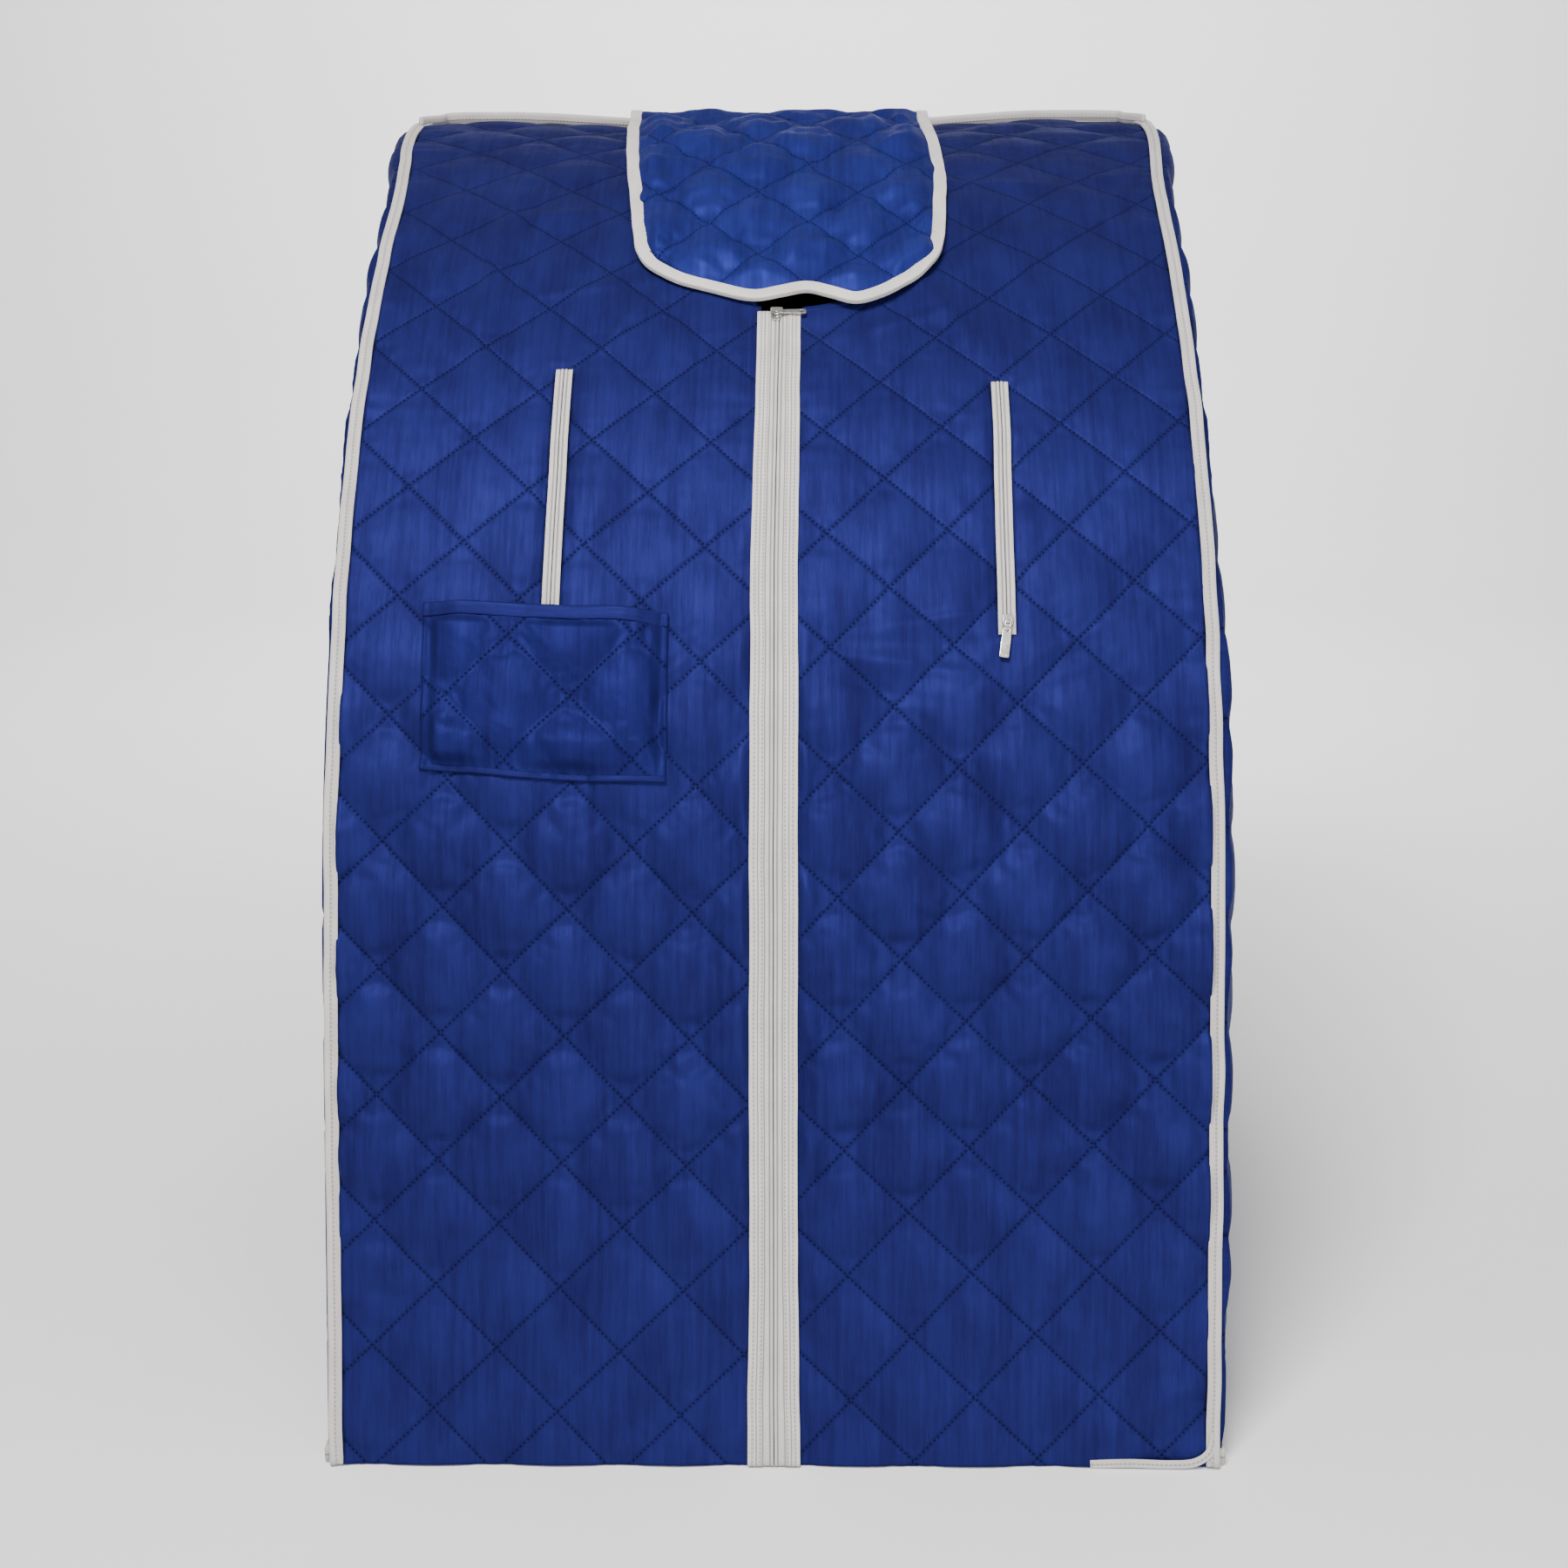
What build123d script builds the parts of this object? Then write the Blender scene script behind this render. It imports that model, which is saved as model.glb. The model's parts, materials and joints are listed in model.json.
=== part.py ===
"""Portable one-person sauna: a quilted fabric cover over a knock-down steel tube frame.

Millimetres. The origin is the middle of the footprint on the floor, +Z is up, the front faces -Y
and +X is on the right of someone who looks at the front.

The front and top of the cover are one bow: a straight stretch that leans back from the floor, then
an arc up and over to the rear edge. Places on it are given by two numbers, the distance along the
bow from the floor and the inset below its outer face, which is negative above the face.
"""

import os
from math import acos, atan2, cos, hypot, radians, sin

from build123d import *

# ---------------------------------------------------------------- driving dimensions
FRONT_Y = -424.0  # the bow's foot, at the floor
REAR_Y = 416.0  # outer face of the rear panel
TOP_Z = 1030.0  # outer face of the top, at the rear edge
SIDE_X = 355.0  # outer face of a side panel
FABRIC = 8.0  # quilted fabric, with its batting and lining
GAP = 0.5  # room between parts of one body
BINDING_X = 342.0  # where the front and top panels end and the seam binding begins
SEAM_FOLD = 6.0  # how far a seam binding reaches in over the edge of its side panel
SEAM_PROUD = 2.0  # how far it stands out of the panels' faces
FLOOR_GAP = 1.0  # the walls hang this far above the floor

BOW_LEAN = radians(12.0)
BOW_STRAIGHT = 400.0
DOOR_TOP = 540.0  # along the bow: the two front halves swing below it

ZIP_TOP = 986.0  # along the bow
ZIP_HALF = 19.0  # half the width of the main zip with its two tapes
TEETH_IN, TEETH_OUT = 0.7, 3.6  # from the zip's centre line
NECK_S = 1097.0  # along the bow: centre of the neck opening
NECK_R = 98.0  # clear radius inside its binding
NECK_BINDING = 8.0

ARM_XS = {"left": -178.0, "right": 186.0}
ARM_HALF = 8.0
ARM_BOTTOM = 664.0
ARM_TOPS = {"left": 915.0, "right": 900.0}
ARM_SLIDER_S = 672.0

POCKET_X = (-284.0, -85.0)
POCKET_S = (547.0, 691.0)
POCKET_DEPTH = 8.0
POCKET_WALL = 2.0

FLAP_HALF = 147.0
FLAP_FRONT_Y = -13.0
FLAP_AXIS_Y = 426.0
FLAP_LOW, FLAP_HIGH = -1.0, -9.0  # insets of the flap's two faces
FLAP_CORNER = 45.0
BINDING_WIDTH = 12.0

TUBE_R = 9.5
TUBE_WALL = 1.2
SOCKET_R = 9.9
CORNER_R = 12.5
CORNER_ARM = 45.0
CORNER_CORE = 14.0
TUBE_INSET = FABRIC + GAP + CORNER_R  # from the cover's outer faces to the tubes' centre lines
FLOOR_PANEL = 6.0
FLOOR_SIDE_GAP = 4.2  # between the floor panel and the walls' inner faces

# ---------------------------------------------------------------- the bow, from those dimensions
STRAIGHT_Y = FRONT_Y + BOW_STRAIGHT * sin(BOW_LEAN)
STRAIGHT_Z = BOW_STRAIGHT * cos(BOW_LEAN)
CHORD = hypot(REAR_Y - STRAIGHT_Y, TOP_Z - STRAIGHT_Z)
CHORD_LEAN = atan2(REAR_Y - STRAIGHT_Y, TOP_Z - STRAIGHT_Z)
BOW_R = CHORD / (2 * sin(CHORD_LEAN - BOW_LEAN))
ARC_Y = STRAIGHT_Y + BOW_R * cos(BOW_LEAN)  # the arc's centre, which every zip slider turns about
ARC_Z = STRAIGHT_Z - BOW_R * sin(BOW_LEAN)


def lean_at(s):
    """The bow's angle from the vertical, in radians, at the distance s along it."""
    return BOW_LEAN + max(0.0, s - BOW_STRAIGHT) / BOW_R


def on_bow(s, inset=0.0):
    """(y, z) of the point at the distance s along the bow, inset below its outer face."""
    lean = lean_at(s)
    if s <= BOW_STRAIGHT:
        return (FRONT_Y + s * sin(lean) + inset * cos(lean), s * cos(lean) - inset * sin(lean))
    return (ARC_Y - (BOW_R - inset) * cos(lean), ARC_Z + (BOW_R - inset) * sin(lean))


def distance_at(y, inset=0.0):
    """The distance along the bow, on its arc, at which the given inset reaches y."""
    lean = acos((ARC_Y - y) / (BOW_R - inset))
    return BOW_STRAIGHT + (lean - BOW_LEAN) * BOW_R


def bow_plane(s, x=0.0, height=0.0):
    """A plane on the bow: local x is +X, local y runs up the bow and local z points outwards."""
    y, z = on_bow(s, -height)
    lean = lean_at(s)
    return Plane(origin=(x, y, z), x_dir=(1, 0, 0), z_dir=(0, -cos(lean), sin(lean)))


BOW_END = distance_at(REAR_Y)


def bow_edge(s_from, s_to, inset):
    """Draws the stretch of the bow between two distances, at one inset."""
    low, high = sorted((s_from, s_to))
    if low < BOW_STRAIGHT:
        Line(on_bow(low, inset), on_bow(min(high, BOW_STRAIGHT), inset))
    if high > BOW_STRAIGHT:
        low = max(low, BOW_STRAIGHT)
        ThreePointArc(on_bow(low, inset), on_bow((low + high) / 2, inset), on_bow(high, inset))


def bow_strip(s_from, s_to, outer, inner):
    """A face between two insets, for the sketch on a YZ plane that is open."""
    with BuildLine(Plane.XY) as strip:
        bow_edge(s_from, s_to, outer)
        bow_edge(s_from, s_to, inner)
        Line(on_bow(s_from, outer), on_bow(s_from, inner))
        Line(on_bow(s_to, outer), on_bow(s_to, inner))
    make_face(strip.line)


def side_outline(inset, bottom, mode=Mode.ADD):
    """The side view of the cover, inset from its bow and rear, down to the height bottom."""
    foot = (bottom + inset * sin(BOW_LEAN)) / cos(BOW_LEAN)
    rear = REAR_Y - inset
    top = distance_at(rear, inset)
    with BuildLine(Plane.XY) as outline:
        bow_edge(foot, top, inset)
        Polyline(on_bow(top, inset), (rear, bottom), on_bow(foot, inset))
    make_face(outline.line, mode=mode)


def save(builder, label):
    """Labels a finished piece and writes it."""
    builder.part.label = label
    export_step(builder.part, f"parts/{label}.step")


os.makedirs("parts", exist_ok=True)
SIDES = (("left", -1), ("right", 1))


def x_plane(sign, near, far):
    """The YZ plane nearer -X of the two that bound a stretch from near to far on one side."""
    return Plane.YZ.offset(min(sign * near, sign * far))


def bow_piece(sign, near, far, s_from, s_to, outer, inner, mode=Mode.ADD):
    """A strip of the bow between near and far from the middle plane, in the part that is open."""
    with BuildSketch(x_plane(sign, near, far)) as strip:
        bow_strip(s_from, s_to, outer, inner)
    extrude(strip.sketch, amount=far - near, mode=mode)


# ---------------------------------------------------------------- cover: walls
for side, sign in SIDES:
    with BuildPart() as side_panel:
        with BuildSketch(x_plane(sign, SIDE_X - FABRIC, SIDE_X)):
            side_outline(SEAM_FOLD + GAP, FLOOR_GAP + SEAM_FOLD + GAP)
        extrude(amount=FABRIC)
    save(side_panel, f"{side}_side_panel")

    with BuildPart() as seam_binding:
        near, far = BINDING_X + 0.8, SIDE_X + SEAM_PROUD
        with BuildSketch(x_plane(sign, near, far)):
            side_outline(-SEAM_PROUD, FLOOR_GAP)
            side_outline(SEAM_FOLD, FLOOR_GAP + SEAM_FOLD, mode=Mode.SUBTRACT)
        extrude(amount=far - near)
    save(seam_binding, f"{side}_seam_binding")

with BuildPart() as floor_panel:
    floor_front = FRONT_Y + 10.0
    floor_rear = REAR_Y - FABRIC - GAP
    with BuildSketch():
        with Locations((0, (floor_front + floor_rear) / 2)):
            floor_half = SIDE_X - FABRIC - GAP - FLOOR_SIDE_GAP
            RectangleRounded(2 * floor_half, floor_rear - floor_front, 12)
    extrude(amount=FLOOR_PANEL)
save(floor_panel, "floor_panel")

# The control box shows through a window in the rear panel.
BOX_X, BOX_Z = 190.0, 118.0
BOX_W, BOX_H = 160.0, 92.0
BOX_FRONT_Y = REAR_Y - 72.0
BOX_WALL = 2.5
BEZEL_W, BEZEL_H = 104.0, 52.0
rear_inner_y = REAR_Y - FABRIC

with BuildPart() as rear_panel:
    rear_top = ARC_Z + BOW_R - FABRIC - 2 * GAP - 0.5
    with BuildSketch(Plane.XZ.offset(-REAR_Y)):
        with Locations((0, (rear_top + FLOOR_GAP) / 2)):
            Rectangle(2 * BINDING_X, rear_top - FLOOR_GAP)
        with Locations((BOX_X, BOX_Z)):
            RectangleRounded(BEZEL_W + 2 * GAP, BEZEL_H + 2 * GAP, 6, mode=Mode.SUBTRACT)
    extrude(amount=FABRIC)
    above = (-BINDING_X - 1, BINDING_X + 1)
    bow_piece(1, *above, BOW_END - 60, BOW_END + 10, -20, FABRIC + GAP, mode=Mode.SUBTRACT)
save(rear_panel, "rear_panel")

with BuildPart() as rear_binding:
    with BuildSketch(Plane.YZ.offset(-BINDING_X + 0.2)):
        with Locations((REAR_Y + 2.4, TOP_Z - 6)):
            RectangleRounded(3.4, BINDING_WIDTH, 1.5)
    extrude(amount=2 * BINDING_X - 0.4)
save(rear_binding, "rear_seam_binding")

with BuildPart() as top_panel:
    bow_piece(1, -BINDING_X, BINDING_X, DOOR_TOP + GAP, BOW_END, 0, FABRIC)
    slot = (-ZIP_HALF - 0.3, ZIP_HALF + 0.3)
    bow_piece(1, *slot, DOOR_TOP - 5, NECK_S, -3, FABRIC + 3, mode=Mode.SUBTRACT)
    with Locations(bow_plane(NECK_S).location):
        Cylinder(NECK_R + NECK_BINDING + 0.3, 80, mode=Mode.SUBTRACT)
    for side in ARM_XS:
        slot = (ARM_XS[side] - ARM_HALF - 0.3, ARM_XS[side] + ARM_HALF + 0.3)
        ends = (ARM_BOTTOM - 0.5, ARM_TOPS[side] + 0.5)
        bow_piece(1, *slot, *ends, -3, FABRIC + 3, mode=Mode.SUBTRACT)
save(top_panel, "top_panel")

with BuildPart() as neck_binding:
    bow_piece(1, -130, 130, NECK_S - 130, NECK_S + 130, -0.5, FABRIC + 1)
    with Locations(bow_plane(NECK_S).location):
        Cylinder(NECK_R + NECK_BINDING, 80, mode=Mode.INTERSECT)
        Cylinder(NECK_R, 80, mode=Mode.SUBTRACT)
    slot = (-ZIP_HALF - 1, ZIP_HALF + 1)
    bow_piece(1, *slot, ZIP_TOP - 40, NECK_S, -5, FABRIC + 5, mode=Mode.SUBTRACT)
save(neck_binding, "neck_opening_binding")

# ---------------------------------------------------------------- cover: the two front halves
for side, sign in SIDES:
    with BuildPart() as door:
        bow_piece(sign, ZIP_HALF + 0.3, BINDING_X, -5, DOOR_TOP - GAP, 0, FABRIC)
        split(bisect_by=Plane.XY.offset(FLOOR_GAP), keep=Keep.TOP)
    save(door, f"{side}_front_panel")

# ---------------------------------------------------------------- neck flap
flap_axis_s = distance_at(FLAP_AXIS_Y, (FLAP_LOW + FLAP_HIGH) / 2)
FLAP_AXIS = on_bow(flap_axis_s, (FLAP_LOW + FLAP_HIGH) / 2)


def flap_plan(margin, mode=Mode.ADD):
    """The flap seen from above, smaller by a margin at its front and its two sides."""
    with BuildSketch(Plane.XY.offset(TOP_Z - 400)) as plan:
        with Locations((0, (FLAP_FRONT_Y + margin + FLAP_AXIS_Y) / 2)):
            Rectangle(2 * (FLAP_HALF - margin), FLAP_AXIS_Y - FLAP_FRONT_Y - margin)
        fillet(plan.vertices().group_by(Axis.Y)[0], FLAP_CORNER - margin)
    extrude(plan.sketch, amount=600, mode=mode)


with BuildPart() as neck_flap:
    flap_front_s = distance_at(FLAP_FRONT_Y) - 30
    bow_piece(1, -FLAP_HALF, FLAP_HALF, flap_front_s, flap_axis_s + 20, FLAP_HIGH, FLAP_LOW)
    flap_plan(BINDING_WIDTH + 0.2, mode=Mode.INTERSECT)
save(neck_flap, "neck_flap_panel")

with BuildPart() as flap_binding:
    bow_piece(1, -FLAP_HALF, FLAP_HALF, flap_front_s, flap_axis_s + 20, FLAP_HIGH, FLAP_LOW)
    flap_plan(0, mode=Mode.INTERSECT)
    flap_plan(BINDING_WIDTH, mode=Mode.SUBTRACT)
save(flap_binding, "neck_flap_binding")

# ---------------------------------------------------------------- front pocket
with BuildPart() as pocket:
    pocket_w = POCKET_X[1] - POCKET_X[0]
    with BuildSketch(Plane.YZ.offset(POCKET_X[0])):
        bow_strip(*POCKET_S, -POCKET_DEPTH - POCKET_WALL, -0.4)
    extrude(amount=pocket_w)
    with BuildSketch(Plane.YZ.offset(POCKET_X[0] + 6)):
        bow_strip(POCKET_S[0] + 6, POCKET_S[1] + 6, -POCKET_DEPTH, 0)
    extrude(amount=pocket_w - 12, mode=Mode.SUBTRACT)
save(pocket, "remote_pocket")

# ---------------------------------------------------------------- main zip
TAPE_OUT, TAPE_IN = -1.0, 1.5  # insets of a tape's two faces
COIL_OUT, COIL_IN = -1.2, 1.8
DOOR_ZIP = (-5, DOOR_TOP - GAP)
FIXED_ZIP = (DOOR_TOP + GAP, ZIP_TOP)


def tape_half(sign, run):
    """One tape of the main zip, along one stretch of the bow."""
    bow_piece(sign, TEETH_OUT + 0.2, ZIP_HALF, *run, TAPE_OUT, TAPE_IN)


def teeth_half(sign, run):
    """The row of teeth on one tape of the main zip."""
    bow_piece(sign, TEETH_IN, TEETH_OUT, run[0], run[1] - 2, COIL_OUT, COIL_IN)


for side, sign in SIDES:
    with BuildPart() as door_tape:
        tape_half(sign, DOOR_ZIP)
        split(bisect_by=Plane.XY.offset(FLOOR_GAP), keep=Keep.TOP)
    save(door_tape, f"{side}_front_zip_tape")

    with BuildPart() as door_teeth:
        teeth_half(sign, DOOR_ZIP)
        split(bisect_by=Plane.XY.offset(FLOOR_GAP), keep=Keep.TOP)
    save(door_teeth, f"{side}_front_zip_teeth")

with BuildPart() as upper_tapes:
    for sign in (-1, 1):
        tape_half(sign, FIXED_ZIP)
save(upper_tapes, "upper_zip_tapes")

with BuildPart() as upper_teeth:
    for sign in (-1, 1):
        teeth_half(sign, FIXED_ZIP)
save(upper_teeth, "upper_zip_teeth")


def plate(plane, width, length, low, high, corner=1.5):
    """A rounded plate on a plane, between two heights above it."""
    with BuildSketch(plane.offset(low)) as outline:
        RectangleRounded(width, length, corner)
    extrude(outline.sketch, amount=high - low)


def slider_body(plane, top, bottom, width, length):
    """The two plates of a zip slider, and the wedge between them that parts the teeth."""
    plate(plane, width, length, *top)
    plate(plane, width, length, *bottom)
    with BuildSketch(plane.offset(bottom[1])) as wedge:
        with Locations((0, length / 2 - 2.2)):
            Rectangle(1.0, 3.4)
    extrude(wedge.sketch, amount=top[0] - bottom[1])


MAIN_SLIDER_S = ZIP_TOP - 5
main_plane = bow_plane(MAIN_SLIDER_S)
with BuildPart() as main_slider:
    slider_body(main_plane, (1.6, 3.4), (-4.0, -2.2), 11, 16)
    with BuildSketch(main_plane.offset(3.4)):
        Circle(1.2)
    extrude(amount=2.6)
    with BuildSketch(main_plane.offset(6.0)):
        Circle(2.0)
    extrude(amount=0.9)
save(main_slider, "main_zip_slider")

with BuildPart() as main_pull:
    with BuildSketch(main_plane.offset(3.9)):
        Circle(3.4)
        with Locations((13.5, 0)):
            RectangleRounded(24, 6, 2.5)
        Circle(1.25, mode=Mode.SUBTRACT)
        with Locations((21.5, 0)):
            SlotOverall(5, 2.4, mode=Mode.SUBTRACT)
    extrude(amount=1.7)
save(main_pull, "main_zip_pull")

# ---------------------------------------------------------------- arm-hole zips
with BuildPart() as arm_teeth:
    for side in ARM_XS:
        near, far = TEETH_IN, TEETH_OUT - 1.0
        for low in (ARM_XS[side] + near, ARM_XS[side] - far):
            with BuildSketch(Plane.YZ.offset(low)):
                bow_strip(ARM_BOTTOM + 1, ARM_TOPS[side] - 1, COIL_OUT, COIL_IN)
            extrude(amount=far - near)
save(arm_teeth, "arm_zip_teeth")

PIN_HEIGHT, PIN_R = 3.9, 0.6
for side, centre in ARM_XS.items():
    with BuildPart() as arm_tape:
        near, far = TEETH_OUT - 0.8, ARM_HALF
        for low in (centre + near, centre - far):
            with BuildSketch(Plane.YZ.offset(low)):
                bow_strip(ARM_BOTTOM, ARM_TOPS[side], TAPE_OUT, TAPE_IN)
            extrude(amount=far - near)
    save(arm_tape, f"{side}_arm_zip_tapes")

    arm_plane = bow_plane(ARM_SLIDER_S, centre)
    with BuildPart() as arm_slider:
        slider_body(arm_plane, (1.5, 2.5), (-3.3, -2.1), 9, 14)
        for lug in (-1, 1):
            with BuildSketch(arm_plane.offset(2.5)):
                with Locations((lug * 3.1, 0)):
                    Rectangle(1.0, 2.6)
            extrude(amount=2.6)
        pin_plane = Plane(origin=arm_plane.from_local_coords((-3.6, 0, PIN_HEIGHT)), z_dir=(1, 0, 0))
        with BuildSketch(pin_plane):
            Circle(PIN_R)
        extrude(amount=7.2)
    save(arm_slider, f"{side}_arm_zip_slider")

    with BuildPart() as arm_pull:
        eye_plane = Plane(origin=arm_plane.from_local_coords((-2.3, 0, PIN_HEIGHT)), z_dir=(1, 0, 0))
        with BuildSketch(eye_plane):
            Circle(1.2)
        extrude(amount=4.6)
        with BuildSketch(arm_plane.offset(PIN_HEIGHT - 0.7)):
            with Locations((0, -18)):
                RectangleRounded(7.6, 24, 1.2)
            with Locations((0, -4)):
                Rectangle(4.4, 8)
            with Locations((0, -27)):
                SlotOverall(2.6, 1.4, mode=Mode.SUBTRACT)
        extrude(amount=1.4)
        with BuildSketch(eye_plane):
            Circle(PIN_R + 0.08)
        extrude(amount=4.6, mode=Mode.SUBTRACT)
    save(arm_pull, f"{side}_arm_zip_pull")

# ---------------------------------------------------------------- frame
TUBE_X = SIDE_X - TUBE_INSET
POST_Y = REAR_Y - TUBE_INSET
RAIL_Z = FLOOR_PANEL + GAP + CORNER_R
foot_s = (RAIL_Z + TUBE_INSET * sin(BOW_LEAN)) / cos(BOW_LEAN)
FRONT_FOOT = on_bow(foot_s, TUBE_INSET)
bow_rear_s = distance_at(POST_Y, TUBE_INSET)
REAR_HEAD = on_bow(bow_rear_s, TUBE_INSET)
FERRULE_S, FERRULE_LENGTH = 330.0, 60.0
TUBE_START = CORNER_CORE + 1.0


def ring():
    """The section of a frame tube, for the sketch that is open."""
    Circle(TUBE_R)
    Circle(TUBE_R - TUBE_WALL, mode=Mode.SUBTRACT)


def straight_tube(label, start, end, start_gap=TUBE_START, end_gap=TUBE_START):
    """A tube between two corner centres, kept clear of their cores."""
    start, end = Vector(*start), Vector(*end)
    along = (end - start).normalized()
    with BuildPart() as tube:
        with BuildSketch(Plane(origin=start + along * start_gap, z_dir=along)):
            ring()
        extrude(amount=(end - start).length - start_gap - end_gap)
    save(tube, label)


def corner(label, centre, directions):
    """A moulded corner with a socket along each direction."""
    centre = Vector(*centre)
    arms = [Vector(*d).normalized() for d in directions]
    with BuildPart() as fitting:
        with Locations(centre):
            Sphere(CORNER_R)
        for arm in arms:
            with BuildSketch(Plane(origin=centre, z_dir=arm)):
                Circle(CORNER_R)
            extrude(amount=CORNER_ARM)
        for arm in arms:
            with BuildSketch(Plane(origin=centre + arm * CORNER_CORE, z_dir=arm)):
                Circle(SOCKET_R)
            extrude(amount=CORNER_ARM, mode=Mode.SUBTRACT)
    save(fitting, label)


bow_up = (0, sin(BOW_LEAN), cos(BOW_LEAN))
# The rear top socket follows the chord of the stretch of tube that it holds.
socket_end = on_bow(bow_rear_s - CORNER_ARM, TUBE_INSET)
bow_back = (0, socket_end[0] - REAR_HEAD[0], socket_end[1] - REAR_HEAD[1])
for side, sign in SIDES:
    x = sign * TUBE_X
    inward = (-sign, 0, 0)
    corner(f"{side}_front_floor_corner", (x, *FRONT_FOOT), (bow_up, (0, 1, 0), inward))
    corner(f"{side}_rear_floor_corner", (x, POST_Y, RAIL_Z), ((0, 0, 1), (0, -1, 0), inward))
    corner(f"{side}_rear_top_corner", (x, *REAR_HEAD), (bow_back, (0, 0, -1), inward))
    straight_tube(f"{side}_floor_rail", (x, *FRONT_FOOT), (x, POST_Y, RAIL_Z))
    straight_tube(f"{side}_rear_post", (x, POST_Y, RAIL_Z), (x, *REAR_HEAD))
    straight_tube(
        f"{side}_bow_lower_tube", (x, *FRONT_FOOT), (x, *on_bow(FERRULE_S, TUBE_INSET)), end_gap=GAP
    )
    with BuildPart() as upper_tube:
        with BuildLine(Plane.YZ.offset(x)) as upper_path:
            bow_edge(FERRULE_S + GAP, bow_rear_s - TUBE_START, TUBE_INSET)
        with BuildSketch(Plane(origin=upper_path.line @ 0, z_dir=upper_path.line % 0)):
            ring()
        sweep()
    save(upper_tube, f"{side}_bow_upper_tube")

    with BuildPart() as ferrule:
        low = FERRULE_S - FERRULE_LENGTH / 2
        with BuildSketch(Plane(origin=(x, *on_bow(low, TUBE_INSET)), z_dir=bow_up)):
            Circle(TUBE_R + 1.7)
            Circle(TUBE_R + 0.1, mode=Mode.SUBTRACT)
        extrude(amount=FERRULE_LENGTH)
    save(ferrule, f"{side}_bow_ferrule")

for label, place in (
    ("front_floor_crossbar", FRONT_FOOT),
    ("rear_floor_crossbar", (POST_Y, RAIL_Z)),
    ("rear_top_crossbar", REAR_HEAD),
):
    straight_tube(label, (-TUBE_X, *place), (TUBE_X, *place))

# ---------------------------------------------------------------- heaters
HEATER = 7.0
SIDE_HEATER, SIDE_HEATER_AT = (360, 480), (60, 400)  # depth and height, and the middle's y and z
REAR_HEATER, REAR_HEATER_Z = (440, 560), 520
FOOT_HEATER, FOOT_HEATER_Y, FOOT_HEATER_T = (360, 280), -190, 12
for side, sign in SIDES:
    heater_x = SIDE_X - FABRIC - GAP
    with BuildPart() as side_heater:
        with BuildSketch(x_plane(sign, heater_x - HEATER, heater_x)):
            with Locations(SIDE_HEATER_AT):
                RectangleRounded(*SIDE_HEATER, 20)
        extrude(amount=HEATER)
    save(side_heater, f"{side}_heater_panel")

with BuildPart() as rear_heater:
    with BuildSketch(Plane.XZ.offset(-(rear_inner_y - GAP))):
        with Locations((0, REAR_HEATER_Z)):
            RectangleRounded(*REAR_HEATER, 20)
    extrude(amount=HEATER)
save(rear_heater, "rear_heater_panel")

with BuildPart() as foot_heater:
    with BuildSketch(Plane.XY.offset(FLOOR_PANEL + 0.3)):
        with Locations((0, FOOT_HEATER_Y)):
            RectangleRounded(*FOOT_HEATER, 25)
    extrude(amount=FOOT_HEATER_T)
    fillet(edges().group_by(Axis.Z)[-1], 4)
save(foot_heater, "foot_heater_pad")

# ---------------------------------------------------------------- control box
box_rear_y = rear_inner_y - GAP
BEZEL_PROUD = 3.0
INLET_X, SWITCH_X = BOX_X - 24, BOX_X + 26
INLET_W, INLET_H = 28.0, 20.5
SWITCH_W, SWITCH_H = 22.0, 28.0
SCREW_SPOTS = [
    (BOX_X + dx * (BOX_W / 2 - 7), BOX_Z + dz * (BOX_H / 2 - 7)) for dx in (-1, 1) for dz in (-1, 1)
]


def block(y, depth, width, height, radius, x=BOX_X, mode=Mode.ADD):
    """A block with rounded corners at the box's height, from y towards -Y."""
    with BuildSketch(Plane.XZ.offset(-y)) as outline:
        with Locations((x, BOX_Z)):
            RectangleRounded(width, height, radius)
    extrude(outline.sketch, amount=depth, mode=mode)


with BuildPart() as box_housing:
    block(box_rear_y, box_rear_y - BOX_FRONT_Y, BOX_W, BOX_H, 8)
    block(REAR_Y + BEZEL_PROUD, REAR_Y + BEZEL_PROUD - box_rear_y + 1, BEZEL_W, BEZEL_H, 5)
    hollow = (BOX_W - 2 * BOX_WALL, BOX_H - 2 * BOX_WALL)
    block(box_rear_y - BOX_WALL, 100, *hollow, 6, mode=Mode.SUBTRACT)
    with BuildSketch(Plane.XZ.offset(-(box_rear_y - BOX_WALL))):
        with Locations(*SCREW_SPOTS):
            Circle(4.5)
    extrude(amount=box_rear_y - BOX_WALL - BOX_FRONT_Y)
    with BuildSketch(Plane.XZ.offset(-(BOX_FRONT_Y + 14))):
        with Locations(*SCREW_SPOTS):
            Circle(1.3)
    extrude(amount=14, mode=Mode.SUBTRACT)
    with BuildSketch(Plane.XZ.offset(-(REAR_Y + BEZEL_PROUD))):
        with Locations((INLET_X, BOX_Z)):
            Rectangle(INLET_W, INLET_H)
        with Locations((SWITCH_X, BOX_Z)):
            Rectangle(SWITCH_W, SWITCH_H)
    extrude(amount=40, mode=Mode.SUBTRACT)
save(box_housing, "control_box_housing")

with BuildPart() as box_cover:
    block(BOX_FRONT_Y - 0.1, BOX_WALL, BOX_W, BOX_H, 8)
    with BuildSketch(Plane.XZ.offset(-BOX_FRONT_Y)):
        with Locations(*SCREW_SPOTS):
            Circle(1.7)
        with GridLocations(9, 1, 8, 1):
            with Locations((BOX_X, BOX_Z)):
                SlotOverall(30, 3, rotation=90)
    extrude(amount=10, mode=Mode.SUBTRACT)
save(box_cover, "control_box_cover")

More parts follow.
